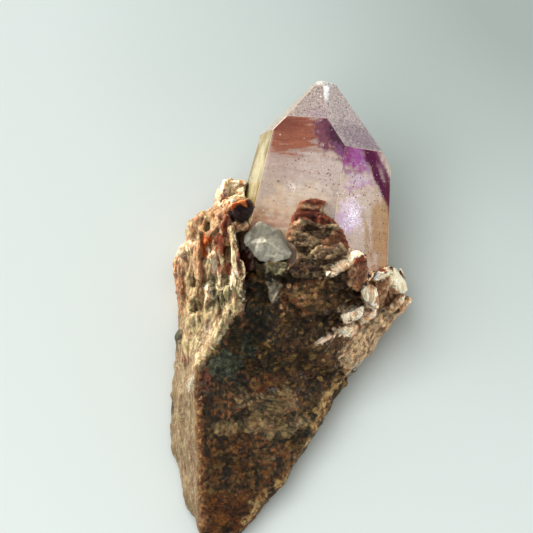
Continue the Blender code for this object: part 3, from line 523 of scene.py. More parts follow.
# Cleavage ledges on the rock's face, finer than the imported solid's, later ones over earlier ones.
LEDGES: tuple[Ledge, ...] = (
    Ledge(Mineral.RUST, ((-0.61, 16.14), (-0.31, 16.92), (0.96, 17.71), (2.54, 17.85),
        (4.31, 17.41), (4.01, 16.92), (3.23, 16.63), (2.93, 15.45), (0.18, 15.45)), 0.35, 0, -0.1,
        1.4),
    Ledge(Mineral.POST, ((-0.06, 16.78), (1.36, 16.71), (3.03, 16.55), (2.97, 16.19),
        (1.36, 16.31), (-0.12, 16.43)), 0.55, 0, -0.2, 1.2),
    Ledge(Mineral.RUST, ((-1.43, 13.84), (-0.9, 15.35), (0.18, 15.8), (2.93, 15.6), (4.9, 14.66),
        (2.93, 13.91), (0.96, 14.42), (-0.41, 14.03)), 0.35, 0, -0.1, 1.6),
    Ledge(Mineral.RUST, ((2.93, 15.45), (5.59, 14.27), (7.1, 12.3), (8.16, 9.55), (7.55, 8.86),
        (6.47, 11.32), (4.9, 12.89), (2.93, 14.07)), 0.3, 0.1, 0, 1.6),
    Ledge(Mineral.TOWER, ((-0.61, 13.78), (0.18, 14.7), (1.16, 14.56), (2.93, 13.48),
        (6.12, 13.38), (6.27, 12.85), (2.93, 12.85), (0.96, 13.91), (-0.12, 13.38)), 0.9, 0, -0.1,
        1.5),
    Ledge(Mineral.TOWER, ((-1.24, 11.71), (0.18, 12.34), (2.73, 11.51), (2.93, 10.77), (1.75, 9.9),
        (-1, 9.78)), 0.7, 0.1, -0.2, 1.8),
    Ledge(Mineral.SHADED_CHEEK, ((3.05, 10.69), (5.88, 11.81), (6.96, 12.46), (7.1, 11.91), (6.47, 9.94),
        (3.72, 9.78)), 0.2, 0, -0.2, 1.6),
    Ledge(Mineral.TOWER, ((1.75, 9.16), (2.93, 10.1), (4.9, 9.71), (6.86, 10.37), (7.69, 9.23),
        (6.86, 8.53), (4.7, 7.74), (2.54, 7.82)), 0.8, 0, -0.3, 1.8),
    Ledge(Mineral.POST, ((-2.42, 10.77), (-2.06, 12.3), (-1.04, 13.64), (0.1, 14.27),
        (-0.22, 13.09), (-1, 11.67), (-1.55, 10.63)), 0.5, 0.2, -0.1, 1.8),
    Ledge(Mineral.TOWER, ((3.76, 6.3), (4.9, 7.54), (7.45, 8.92), (8.08, 9.23), (7.69, 7.94),
        (5.88, 6.52), (4.74, 5.81)), 0.7, 0, -0.3, 1.8),
    Ledge(Mineral.BULGE, ((5.21, 5.12), (6.31, 5.5), (7.63, 6.26), (8.95, 7.42), (9.42, 4.34),
        (9.4, 2.51), (7.85, 3.47), (6.33, 4.49)), 1, 0.3, -0.05, 2.2),
    Ledge(Mineral.PALE, ((4.17, 5.01), (5.51, 6.78), (6.75, 7.78), (8.06, 8.74), (9.4, 9.19),
        (10.72, 8.53), (10.05, 7.86), (8.95, 7.21), (7.63, 6.11), (6.31, 5.32), (5.21, 4.87)),
        1.05, 0.12, -0.35, 2.8),
    Ledge(Mineral.SHADED_CHEEK, ((8.95, 7.21), (10.72, 7.9), (11.03, 6.01), (11.21, 4.34), (10.58, 2.8),
        (9.4, 2.37), (9.16, 5.01)), 0.8, -0.6, 0.1, 2.4),
    Ledge(Mineral.RUST, ((8.91, 7.42), (9.68, 7.96), (10.64, 8.41), (10.99, 8), (10.91, 7.58),
        (9.68, 7.37), (9.01, 7.07)), 1.1, -0.2, 0, 1.4),
    Ledge(Mineral.FRONT_RIGHT_SHADED, ((4.35, 4.51), (6.08, 5.14), (7.81, 6.32), (8, 3.22), (5.88, 2.43),
        (4.7, 3.33)), 0.5, 0.1, -0.2, 1.8),
    Ledge(Mineral.PALE, ((10.13, 2.39), (11.23, 3.69), (12.61, 3.1), (12.92, 1.29), (13, -0.72),
        (11.39, 0.46), (10.4, 1.25)), 3, 0.15, -0.15, 4.4),
    Ledge(Mineral.KNOB, ((10.56, -0.76), (11.43, 0.31), (12.88, -0.68), (12.57, -1.9),
        (10.4, -3.08), (9.97, -2.09)), 2.3, 0.15, -0.15, 3.8),
    Ledge(Mineral.PALE, ((6.63, -1.54), (8.83, -0.64), (10.64, 0.15), (10.29, -1.66),
        (9.07, -2.29), (7.49, -3.11)), 2.3, 0.25, -0.35, 3.6),
    Ledge(Mineral.PALE, ((5.8, -3.7), (7.45, -3.43), (9.26, -3.19), (9.07, -4.06), (8.08, -5.24),
        (6.27, -4.69)), 0.7, 0, -0.4, 1.8),
    Ledge(Mineral.KNOB, ((2.46, -6.14), (4.31, -4.96), (6.12, -4.85), (4.9, -5.63), (3.36, -6.38)),
        0.7, 0, -0.4, 1.6),
    Ledge(Mineral.POST, ((12.76, 4), (12.96, 5.62), (14.53, 5.93), (15.16, 5.14), (14.96, 3.26),
        (14.73, 1.68), (13.94, 0.46), (13, 0.27), (12.76, 2.08)), 0.5, -0.2, 0, 2.4),
    Ledge(Mineral.PALE, ((12.09, 4.51), (12.92, 5.81), (14.77, 5.85), (15.2, 4.99), (13.75, 4.4),
        (12.57, 3.96)), 0.9, 0, -0.4, 2),
    Ledge(Mineral.RUST, ((12.88, 5.85), (13.2, 6.8), (13.98, 6.44), (14.41, 5.73)), 0.5, 0, 0,
        1.6),
    Ledge(Mineral.PALE, ((14.53, -0.95), (15.12, 0.5), (16.46, 1.68), (17.6, 2.16), (17.36, 0.7),
        (15.91, -0.91), (14.93, -1.38)), 4.6, 0.2, -0.2, 5.4),
    Ledge(Mineral.POST, ((14.89, 2.78), (16.3, 2.9), (17.17, 1.88), (15.95, 0.46), (14.89, 0.82)),
        0.3, -0.2, 0, 2),
    Ledge(Mineral.TIP, ((17.29, 0.39), (18.47, 1.53), (18.82, 0.7), (17.52, -0.72), (16.3, -1.54)),
        2.8, 0.15, 0, 4.2),
    Ledge(Mineral.POCKET, ((-6.11, 7.31), (-4.34, 7.58), (-2.14, 7.35), (-2.38, 5.97),
        (-3.95, 5.18), (-5.72, 5.97)), 0.6, 0, -0.2, 1.8),
    Ledge(Mineral.SHARD, ((-5.56, 3.81), (-4.15, 4.28), (-3.13, 3.61), (-4.11, 1.25),
        (-4.74, 0.27), (-5.25, 2.04)), 0.45, 0, -0.2, 1.4),
    Ledge(Mineral.FRONT_RIGHT_SHADED, ((-2.18, 6.4), (-0.61, 7.58), (1.75, 7.19), (3.32, 5.62),
        (1.75, 4.44), (-1, 4.63)), 0.5, 0.1, -0.2, 1.6),
    Ledge(Mineral.FRONT_RIGHT_SHADED, ((4.5, 1.29), (6.86, 2.27), (8.83, 2.47), (9.62, 1.68), (7.65, 0.5),
        (5.29, -0.09)), 0.35, 0, -0.3, 1.5),
    Ledge(Mineral.CROWN, ((-13.06, 19.81), (-12.79, 20.97), (-11.77, 21.24), (-10.41, 21.1),
        (-9.22, 21.37), (-8.84, 20.76), (-9.18, 19.27), (-10.41, 19.01), (-12.28, 19.4)), 0.4, 0.1,
        -0.2, 2.4),
    Ledge(Mineral.RUST, ((-13.3, 17.56), (-13.13, 19.01), (-12.45, 19.44), (-12.04, 18.59),
        (-12.45, 17.99)), 0.35, 0, 0, 1.8),
    Ledge(Mineral.CROWN, ((-12.45, 17.56), (-11.43, 18.33), (-9.22, 18.67), (-8.88, 18.07),
        (-11.43, 17.26), (-12.19, 16.8)), 0.7, 0, -0.3, 2),
    Ledge(Mineral.SLAB, ((-11.97, 15.86), (-11.43, 16.8), (-8.67, 17.56), (-8.06, 17.14),
        (-7.96, 15.86), (-8.64, 14.54), (-9.73, 13.93), (-11.09, 14.81)), 0.35, 0.1, 0, 1.2),
    Ledge(Mineral.GLOW, ((-12.24, 16.34), (-11.43, 17.05), (-10.07, 17.53), (-8.67, 17.87),
        (-8.37, 17.63), (-8.57, 17.36), (-9.98, 17.05), (-11.36, 16.58), (-11.9, 16.03)), 0.7, 0,
        0.2, 1.6),
    Ledge(Mineral.SLAB, ((-8.61, 17.8), (-8.03, 17.5), (-7.55, 16.44), (-7.76, 15.66),
        (-8.33, 14.67), (-8.67, 14.5), (-8.23, 15.78), (-8.16, 16.37), (-8.5, 17.26)), 0.5, 0, 0.2,
        1.6),
    Ledge(Mineral.BULGE, ((-15.14, 15.44), (-13.81, 16.34), (-12.45, 16.78), (-12.19, 16.44),
        (-13.47, 15.52), (-14.15, 14.67), (-14.83, 14.16)), 0.6, 0.2, -0.2, 1.8),
    Ledge(Mineral.GLOW, ((-16.16, 10.83), (-15.85, 11.58), (-14.63, 12.46), (-13.81, 14.16),
        (-13.47, 13.82), (-14.01, 12.29), (-14.83, 10.93), (-15.65, 10.29)), 0.6, 0.3, 0, 1.8),
    Ledge(Mineral.BULGE, ((-15.85, 11.78), (-14.49, 13.14), (-13.78, 14.33), (-12.52, 16.34),
        (-12.28, 16), (-13.3, 13.82), (-13.95, 12.63), (-14.83, 11.78)), 0.85, 0.4, 0, 2),
    Ledge(Mineral.RUST, ((-13.2, 13.82), (-12.45, 15.18), (-11.6, 14.67), (-11.43, 12.12),
        (-12.11, 11.78), (-12.96, 12.46)), 0.2, 0, 0.1, 1.2),
    Ledge(Mineral.POST, ((-11.5, 13.35), (-11.36, 13.99), (-10.07, 13.48), (-8.54, 13.82),
        (-8.33, 13.14), (-9.73, 12.46), (-10.92, 12.63)), 0.5, 0.1, 0.1, 1.4),
    Ledge(Mineral.BULGE, ((-19.08, 13.65), (-18.23, 14.13), (-17.55, 13.48), (-17.72, 12.46),
        (-18.3, 10.93), (-19.05, 10.63), (-18.88, 11.78), (-18.44, 12.39), (-18.88, 13.04)), 0.7,
        0.5, 0, 2.6),
    Ledge(Mineral.BULGE, ((-17.72, 14.5), (-16.7, 15.49), (-15.48, 15.32), (-15.17, 14.67),
        (-15.58, 13.82), (-16.46, 12.84), (-17.11, 13.21)), 0.7, 0.4, -0.1, 2.6),
    # Painted highlight on the top of the bulge.
    Ledge(Mineral.PALE, ((-20.78, 8.55), (-20.41, 9.74), (-18.88, 10.56), (-17.72, 10.69),
        (-17.59, 9.74), (-18.88, 9.06), (-20.1, 8.21)), 0.8, 0.4, -0.2, 2.6),
    Ledge(Mineral.BULGE, ((-21.19, 7.36), (-20.78, 8.47), (-19.76, 8.21), (-19.85, 6.34),
        (-20.1, 4.13), (-19.66, 1.75), (-20.27, 2.26), (-20.95, 3.96), (-21.29, 5.66)), 0.7, 0.7,
        0, 2.6),
    Ledge(Mineral.BULGE, ((-17.72, 8.21), (-17.38, 10.76), (-16.67, 11.44), (-16.46, 9.74),
        (-16.67, 7.36), (-16.5, 4.98), (-16.87, 3.11), (-17.38, 5.66)), 0.8, 0.5, 0, 2),
    Ledge(Mineral.WALL, ((-18.74, 6.68), (-18.06, 8.04), (-17.62, 7.36), (-17.89, 4.98),
        (-18.23, 2.6), (-18.88, 1.58), (-19.08, 3.96)), 0.7, 0.5, 0, 2),
    Ledge(Mineral.BULGE, ((-16.46, 7.36), (-15.85, 7.87), (-15.65, 5.66), (-15.75, 3.62),
        (-16.19, 2.6), (-16.46, 4.64)), 0.6, 0.4, 0, 1.6),
    Ledge(Mineral.CROWN, ((-16.02, 3.11), (-15.17, 3.45), (-14.49, 2.94), (-14.83, 2.09),
        (-15.85, 2.09)), 0.5, 0, 0, 1.4),
    Ledge(Mineral.PALE, ((-15.85, 1.58), (-14.83, 1.83), (-14.4, 1.15), (-15.17, 0.56),
        (-15.92, 0.81)), 0.5, 0, 0, 1.4),
    Ledge(Mineral.STRAND, ((-11.67, 13.14), (-11.43, 13.4), (-11.05, 10.76), (-10.78, 8.04),
        (-10.34, 5.66), (-9.9, 4.47), (-10.24, 4.21), (-10.78, 5.49), (-11.22, 7.87),
        (-11.39, 10.76)), 0.9, 0.3, 0, 1.6),
    Ledge(Mineral.STRAND, ((-9.73, 7.28), (-9.46, 7.7), (-9.15, 6.34), (-9.12, 4.98),
        (-9.63, 3.96), (-9.59, 2.43), (-9.9, 2.6), (-9.97, 3.96), (-9.52, 5.15)), 0.7, 0.3, 0,
        1.6),
    Ledge(Mineral.BULGE, ((-10.37, 6.34), (-9.8, 6.85), (-9.52, 5.66), (-9.8, 4.67),
        (-10.2, 4.98)), 0.3, 0, 0, 1),
    Ledge(Mineral.PALE, ((-11.77, 4.3), (-11.43, 5.66), (-10.92, 6.34), (-10.61, 4.98),
        (-10.92, 3.62), (-11.43, 3.11)), 0.4, 0.2, 0, 1.2),
    Ledge(Mineral.FLANK, ((14.33, -1.67), (16.33, 0.33), (16.67, -1), (12, -6.67), (8.67, -11),
        (7.33, -12.33), (8.33, -9.33), (11, -5.67)), 0.3, -0.2, 0, 2.4),
    Ledge(Mineral.WALL, ((-12.33, -1), (-10, 1.33), (-9.5, 0.33), (-13, -5), (-16.67, -10.33),
        (-17.17, -9.33), (-14.67, -5)), 0.3, 0.2, 0, 1.6),
    Ledge(Mineral.EDGE, ((-17.33, -11), (-16.67, -10.33), (-16.17, -19), (-16, -27.33),
        (-15.5, -37.33), (-16.5, -37.33), (-16.83, -27.33), (-17.17, -19)), 0.25, 0.2, 0, 1.4),
    Ledge(Mineral.WALL_LOW, ((-20.67, -14.33), (-19.33, -13.33), (-18, -15), (-18.67, -22.33),
        (-19.67, -27.33), (-20.67, -22.33)), 0.35, 0.3, 0, 1.8),
    Ledge(Mineral.WALL, ((-19, -2.33), (-17.33, -1), (-15.67, -2), (-17.33, -6.33), (-19, -9.33),
        (-19.83, -6.33)), 0.4, 0.3, 0, 1.8),
    Ledge(Mineral.CREAM, ((-9, -16.33), (-5.67, -15), (-1.33, -15.67), (0, -17.33), (-4, -18.67),
        (-8, -18.33)), 0.35, 0, -0.2, 1.4),
    Ledge(Mineral.CREAM, ((-6.33, -20.33), (-2.67, -19), (0.33, -19.67), (-0.67, -21.67),
        (-5, -22.33)), 0.3, 0, -0.25, 1.4),
    Ledge(Mineral.FRONT_RIGHT_SHADED, ((0, -7.67), (3, -6.67), (5.67, -7.67), (4.67, -9.67), (1, -10.33)),
        0.4, 0, -0.3, 1.4),
    Ledge(Mineral.FRONT_RIGHT_SHADED, ((-4, -11), (-1.33, -10), (1, -11.67), (-0.67, -13.33),
        (-3.33, -13.33)), 0.35, 0, -0.3, 1.4),
    Ledge(Mineral.FRONT_LOW_SHADED, ((-13, -24), (-9.33, -23), (-6.33, -24.33), (-7.67, -27),
        (-11.67, -27.33)), 0.35, 0, -0.2, 1.4),
    Ledge(Mineral.FRONT_DARK_SHADED, ((-9, -2), (-6.33, -0.67), (-4, -2.67), (-4.67, -6.33),
        (-7.67, -6.67)), 0.4, 0.1, -0.2, 1.4),
)

# The direction, spread, pitch and relief of the cleavage steps on parts of the rock's face.
CLEAVAGES = (
    (Patch(Mineral.TOWER, (2.6, 11.5), (6, 6.4)), 97, 26, 1.05, 0.34),
    (Patch(Mineral.FLANK, (12.7, -4), (3, 9.4), -38), -36, 12, 0.9, 0.12),
    (Patch(Mineral.PALE, (8.4, 6.2), (3.4, 3.6)), 128, 30, 0.95, 0.26),
    (Patch(Mineral.KNOB, (12.6, 1.4), (3.6, 4.2)), 150, 60, 0.9, 0.22),
    (Patch(Mineral.CROWN, (-11.7, 18.7), (3.4, 3)), 100, 120, 0.9, 0.26),
    (Patch(Mineral.SLAB, (-10.2, 16.2), (2.6, 1.9)), 60, 20, 1.2, 0.08),
)

# The ridge between the dark front and the pale left side, from its top down.
RIDGE = (
    (-11.17, 19.33), (-11.17, 13.5), (-10, 1), (-17.17, -10.67), (-16.67, -42.33),
)


@dataclass(frozen=True)
class FeldsparFinish:
    """Pink potash feldspar, broken by hand: sugary grains, flat cleavage faces that glint, and
    iron stain in the cracks. The eye sees a dull rough stone with small bright steps."""

    name: str = "broken_pink_feldspar"
    roughness: float = 0.78
    glint_roughness: float = 0.32
    grain_mm: float = 0.38
    speck_mm: float = 0.6
    vein_mm: float = 1.5
    glow_mm: float = 0.5

    def build(self) -> bpy.types.Material:
        """Makes the material.

        Returns:
            The material, coloured by the mesh's "ground" and "place" attributes.
        """
        made, tree = new_material(self.name)
        ground = add_node(tree, "Attribute", attribute_name="ground")
        place = add_node(tree, "Attribute", attribute_name="place")
        grain = add_node(tree, "TexNoise", {"Vector": place.outputs["Vector"],
            "Scale": 1.0 / self.grain_mm, "Detail": 5.0, "Roughness": 0.7, "Distortion": 0.6})
        shade = add_node(tree, "MapRange", {"Value": grain, "From Min": 0.3, "From Max": 0.7,
            "To Min": 0.55, "To Max": 1.5})
        vein = add_node(tree, "TexNoise", {"Vector": place.outputs["Vector"],
            "Scale": 1.0 / self.vein_mm, "Detail": 3.0, "Roughness": 0.6, "Distortion": 1.2})
        off = add_node(tree, "Math", {0: vein, 1: 0.5}, operation="SUBTRACT")
        apart = add_node(tree, "Math", {0: off}, operation="ABSOLUTE")
        crack = add_node(tree, "MapRange", {"Value": apart, "From Min": 0.0, "From Max": 0.035,
            "To Min": 0.42, "To Max": 1.0})
        toned = add_node(tree, "VectorMath", {0: ground, 1: shade}, operation="MULTIPLY")
        cracked = add_node(tree, "VectorMath", {0: toned, 1: crack}, operation="MULTIPLY")
        speck = add_node(tree, "TexVoronoi", {"Vector": place.outputs["Vector"],
            "Scale": 1.0 / self.speck_mm, "Randomness": 1.0})
        tint = add_node(tree, "SeparateColor", {"Color": speck.outputs["Color"]})
        warm = add_node(tree, "ValToRGB", {"Fac": tint.outputs["Red"]}, stops=[(0.0, "8f7668"),
            (0.3, "dcc0a6"), (0.6, "f4ece0"), (1.0, "fffaf0")])
        mixed = add_node(tree, "Mix", {0: 0.4, 6: cracked, 7: warm}, data_type="RGBA",
            blend_type="MULTIPLY")
        glint = add_node(tree, "MapRange", {"Value": tint.outputs["Green"], "From Min": 0.8,
            "From Max": 0.86, "To Min": self.roughness, "To Max": self.glint_roughness})
        fine = add_node(tree, "TexNoise", {"Vector": place.outputs["Vector"],
            "Scale": 2.0 / self.grain_mm, "Detail": 3.0})
        bump = add_node(tree, "Bump", {"Height": fine, "Strength": 0.8, "Distance": 0.12 * MM})
        flakes = add_node(tree, "Bump", {"Height": tint.outputs["Blue"], "Strength": 0.5,
            "Distance": 0.1 * MM, "Normal": bump})
        shader = add_node(tree, "BsdfPrincipled", {"Base Color": mixed.outputs[2],
            "Roughness": glint, "Normal": flakes, "Specular IOR Level": 0.22, "IOR": 1.52,
            "Subsurface Weight": 0.3, "Subsurface Scale": self.glow_mm * MM,
            "Subsurface Radius": (1.0, 0.45, 0.25)})
        add_node(tree, "OutputMaterial", {"Surface": shader})
        return made


@dataclass(frozen=True)
class QuartzFinish:
    """Natural quartz, grown with striped sides or frosted by etching, and hazy inside with fine
    bubbles. The eye sees light and colour through a glassy or a matt skin."""

    name: str
    roughness: float
    transmission: float
    absorb: str
    density_per_mm: float
    stripe_mm: float
    stripe_strength: float
    frost_mm: float
    frost_strength: float
    ior: float = 1.544
    glow_mm: float = 0.6
    mottle: float = 0.12
    gloss: float = 0.5

    def build(self) -> bpy.types.Material:
        """Makes the material.

        Returns:
            The material, coloured by the mesh's "haze" and "growth" attributes.
        """
        made, tree = new_material(self.name)
        haze = add_node(tree, "Attribute", attribute_name="haze")
        growth = add_node(tree, "Attribute", attribute_name="growth")
        stretched = add_node(tree, "Mapping", {"Vector": growth.outputs["Vector"],
            "Scale": (0.06 / self.stripe_mm, 0.06 / self.stripe_mm, 1.0 / self.stripe_mm)})
        stripes = add_node(tree, "TexNoise", {"Vector": stretched, "Scale": 1.0, "Detail": 5.0,
            "Roughness": 0.7})
        frost = add_node(tree, "TexNoise", {"Vector": growth.outputs["Vector"],
            "Scale": 1.0 / self.frost_mm, "Detail": 4.0, "Roughness": 0.7})
        cloud = add_node(tree, "MapRange", {"Value": frost, "From Min": 0.32, "From Max": 0.68,
            "To Min": 1.0 - self.mottle, "To Max": 1.0 + self.mottle})
        line = add_node(tree, "MapRange", {"Value": stripes, "From Min": 0.3, "From Max": 0.7,
            "To Min": 0.88, "To Max": 1.08})
        both = add_node(tree, "Math", {0: cloud, 1: line}, operation="MULTIPLY")
        toned = add_node(tree, "VectorMath", {0: haze, 1: both}, operation="MULTIPLY")
        bump = add_node(tree, "Bump", {"Height": stripes, "Strength": self.stripe_strength,
            "Distance": 0.1 * MM})
        matt = add_node(tree, "Bump", {"Height": frost, "Strength": self.frost_strength,
            "Distance": 0.06 * MM, "Normal": bump})
        clear = add_node(tree, "MapRange", {"Value": haze.outputs["Alpha"],
            "To Min": self.transmission * 0.2, "To Max": self.transmission})
        shader = add_node(tree, "BsdfPrincipled", {"Base Color": toned,
            "Roughness": self.roughness, "Specular IOR Level": self.gloss,
            "Transmission Weight": clear, "IOR": self.ior, "Normal": matt,
            "Subsurface Weight": 1.0, "Subsurface Scale": self.glow_mm * MM,
            "Subsurface Radius": (1.0, 0.8, 0.7)})
        inside = add_node(tree, "VolumeAbsorption", {"Color": opaque(self.absorb),
            "Density": self.density_per_mm / MM})
        add_node(tree, "OutputMaterial", {"Surface": shader, "Volume": inside})
        return made


@dataclass(frozen=True)
class SpeckFinish:
    """Goethite or fluid held in the quartz: tiny solid specks, dull or bright."""

    name: str
    dark: str
    light: str
    roughness: float

    def build(self) -> bpy.types.Material:
        """Makes the material.

        Returns:
            A material whose colour changes from speck to speck.
        """
        made, tree = new_material(self.name)
        place = add_node(tree, "TexCoord")
        cloud = add_node(tree, "TexNoise", {"Vector": place.outputs["Object"],
            "Scale": 1.0 / (0.5 * MM)})
        shade = add_node(tree, "ValToRGB", {"Fac": cloud}, stops=[(0.35, self.dark),
            (0.65, self.light)])
        shader = add_node(tree, "BsdfPrincipled", {"Base Color": shade,
            "Roughness": self.roughness})
        add_node(tree, "OutputMaterial", {"Surface": shader})
        return made


def new_collection(name: str) -> bpy.types.Collection:
    """A new collection in the scene."""
    made = bpy.data.collections.new(name)
    bpy.context.scene.collection.children.link(made)
    return made


def carried_mesh(node: str) -> bmesh.types.BMesh:
    """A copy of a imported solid's mesh, in the row frame.

    Args:
        node: The solid's name.

    Returns:
        Its surface with the doubled points joined and the flat faces whole.
    """
    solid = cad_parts[node]
    bm = bmesh.new()
    bm.from_mesh(solid.data)
    bm.transform(solid.matrix_world)
    bmesh.ops.remove_doubles(bm, verts=bm.verts, dist=0.002 * MM)
    return bm


def add_piece(name: str, mesh: bpy.types.Mesh, slot: str, *nodes: str) -> bpy.types.Object:
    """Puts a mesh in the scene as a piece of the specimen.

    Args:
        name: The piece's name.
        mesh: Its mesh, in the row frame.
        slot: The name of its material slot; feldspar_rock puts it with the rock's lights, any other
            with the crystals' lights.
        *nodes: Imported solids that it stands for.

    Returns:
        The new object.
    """
    made = bpy.data.objects.new(name, mesh)
    groups = ("rock_only",) if slot == "feldspar_rock" else ("crystals_only", "pale_things")
    for group in ("specimen", *groups):
        bpy.data.collections[group].objects.link(made)
    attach(made, "root")
    if nodes:
        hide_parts(*nodes)
    LOG.info("%s: %d faces", name, len(mesh.polygons))
    return made


def mesh_of(bm: bmesh.types.BMesh, name: str) -> bpy.types.Mesh:
    """A new mesh with the working mesh's surface, which is freed."""
    made = bpy.data.meshes.new(name)
    bm.to_mesh(made)
    bm.free()
    return made


def evaluated_mesh(carrier: bpy.types.Object) -> bpy.types.Mesh:
    """A new mesh of the object with its modifiers applied."""
    graph = bpy.context.evaluated_depsgraph_get()
    return bpy.data.meshes.new_from_object(carrier.evaluated_get(graph))


def cut_long_edges(
    bm: bmesh.types.BMesh, rounds: int, is_long: Callable[[bmesh.types.BMEdge], bool]
) -> None:
    """Cuts a triangle mesh's long edges in half until none is left.

    Args:
        bm: The mesh, changed in place.
        rounds: The most times that all edges are looked at.
        is_long: Says whether an edge is to be cut.
    """
    for _ in range(rounds):
        long_edges = [edge for edge in bm.edges if is_long(edge)]
        if not long_edges:
            break
        bmesh.ops.subdivide_edges(bm, edges=long_edges, cuts=1)
        bmesh.ops.triangulate(bm, faces=[f for f in bm.faces if len(f.verts) > 3])


def surface_tree(bm: bmesh.types.BMesh) -> BVHTree:
    """A row frame mesh's surface in specimen millimetres, to cast rays on. The mesh is freed."""
    bm.transform(SPECIMEN.to_row.inverted())
    tree = BVHTree.FromBMesh(bm)
    bm.free()
    return tree


def seen_at(tree: BVHTree, u: float, v: float) -> tuple:
    """What a viewer straight over the specimen's face sees at a place: hit, normal and more."""
    return tree.ray_cast(Vector((u, v, RAY_START)), Vector((0.0, 0.0, -1.0)))


def set_points(mesh: bpy.types.Mesh, points: np.ndarray) -> None:
    """Moves the mesh's points."""
    mesh.vertices.foreach_set("co", points.astype(np.float32).ravel())


def finish_mesh(mesh: bpy.types.Mesh, sharp_deg: float, material: bpy.types.Material) -> None:
    """Shades the mesh smooth with sharp edges above an angle, and gives it its material."""
    mesh.polygons.foreach_set("use_smooth", np.ones(len(mesh.polygons), dtype=bool))
    mesh.set_sharp_from_angle(angle=math.radians(sharp_deg))
    mesh.materials.append(material)


def mesh_arrays(mesh: bpy.types.Mesh) -> tuple[np.ndarray, np.ndarray]:
    """The mesh's points and point normals as arrays."""
    points = np.empty(len(mesh.vertices) * 3, dtype=np.float32)
    normals = np.empty_like(points)
    mesh.vertices.foreach_get("co", points)
    mesh.vertex_normals.foreach_get("vector", normals)
    return points.reshape(-1, 3).astype(float), normals.reshape(-1, 3).astype(float)


def neighbour_mean(mesh: bpy.types.Mesh, values: np.ndarray) -> np.ndarray:
    """The mean of each point's neighbours.

    Args:
        mesh: The mesh.
        values: A row of three numbers for each point.

    Returns:
        The mean rows.
    """
    ends = np.empty(len(mesh.edges) * 2, dtype=np.int32)
    mesh.edges.foreach_get("vertices", ends)
    first, second = ends[::2], ends[1::2]
    size = len(values)
    count = np.bincount(ends, minlength=size).astype(float)
    columns = []
    for column in values.T:
        ahead = np.bincount(first, column[second], size)
        columns.append(ahead + np.bincount(second, column[first], size))
    return np.stack(columns, axis=1) / count[:, None]


def write_attribute(
    mesh: bpy.types.Mesh, name: str, values: np.ndarray, domain: str = "POINT"
) -> None:
    """Stores three or four numbers on each point or corner of a mesh, as a colour.

    Args:
        mesh: The mesh.
        name: The attribute's name.
        values: A row of three or four numbers for each point or corner.
        domain: "POINT" or "CORNER".
    """
    layer = mesh.attributes.new(name, "FLOAT_COLOR", domain)
    padded = np.concatenate([values, np.ones((len(values), 4 - values.shape[1]))], axis=1)
    layer.data.foreach_set("color", padded.astype(np.float32).ravel())


def block_corners(rng: np.random.Generator, chip: float) -> np.ndarray:
    """The corner points of a unit box with its corners broken off unevenly."""
    points = []
    for corner in itertools.product((-0.5, 0.5), repeat=3):
        for axis in range(3):
            point = list(corner)
            point[axis] *= 1.0 - 2.0 * chip * rng.uniform(0.2, 1.0)
            points.append(point)
    return np.array(points)


def hull(points: np.ndarray) -> tuple[np.ndarray, list[list[int]]]:
    """The convex hull of the points.

    Args:
        points: The points.

    Returns:
        The hull's points and faces.
    """
    bm = bmesh.new()
    for point in points:
        bm.verts.new(point)
    made = bmesh.ops.convex_hull(bm, input=bm.verts)
    unused = made["geom_interior"] + made["geom_unused"]
    spare = {g for g in unused if isinstance(g, bmesh.types.BMVert)}
    bmesh.ops.delete(bm, geom=list(spare), context="VERTS")
    bmesh.ops.recalc_face_normals(bm, faces=bm.faces)
    bm.verts.index_update()
    corners = np.array([v.co for v in bm.verts])
    faces = [[v.index for v in f.verts] for f in bm.faces]
    bm.free()
    return corners, faces


@dataclass
class Shapes:
    """Many small closed bodies gathered as one mesh."""

    points: list[np.ndarray] = field(default_factory=list)
    faces: list[list[int]] = field(default_factory=list)
    count: int = 0

    def add(self, corners: np.ndarray, faces: list[list[int]]) -> None:
        """Adds one body."""
        self.points.append(corners)
        self.faces.extend([[i + self.count for i in f] for f in faces])
        self.count += len(corners)

    def mesh(self, name: str) -> bpy.types.Mesh:
        """All bodies as one mesh."""
        made = bpy.data.meshes.new(name)
        made.from_pydata(np.concatenate(self.points).tolist(), [], self.faces)
        made.update()
        return made


# A face direction's share along the crystal, above which the face belongs to the tip.
TIP_RISE = 0.4


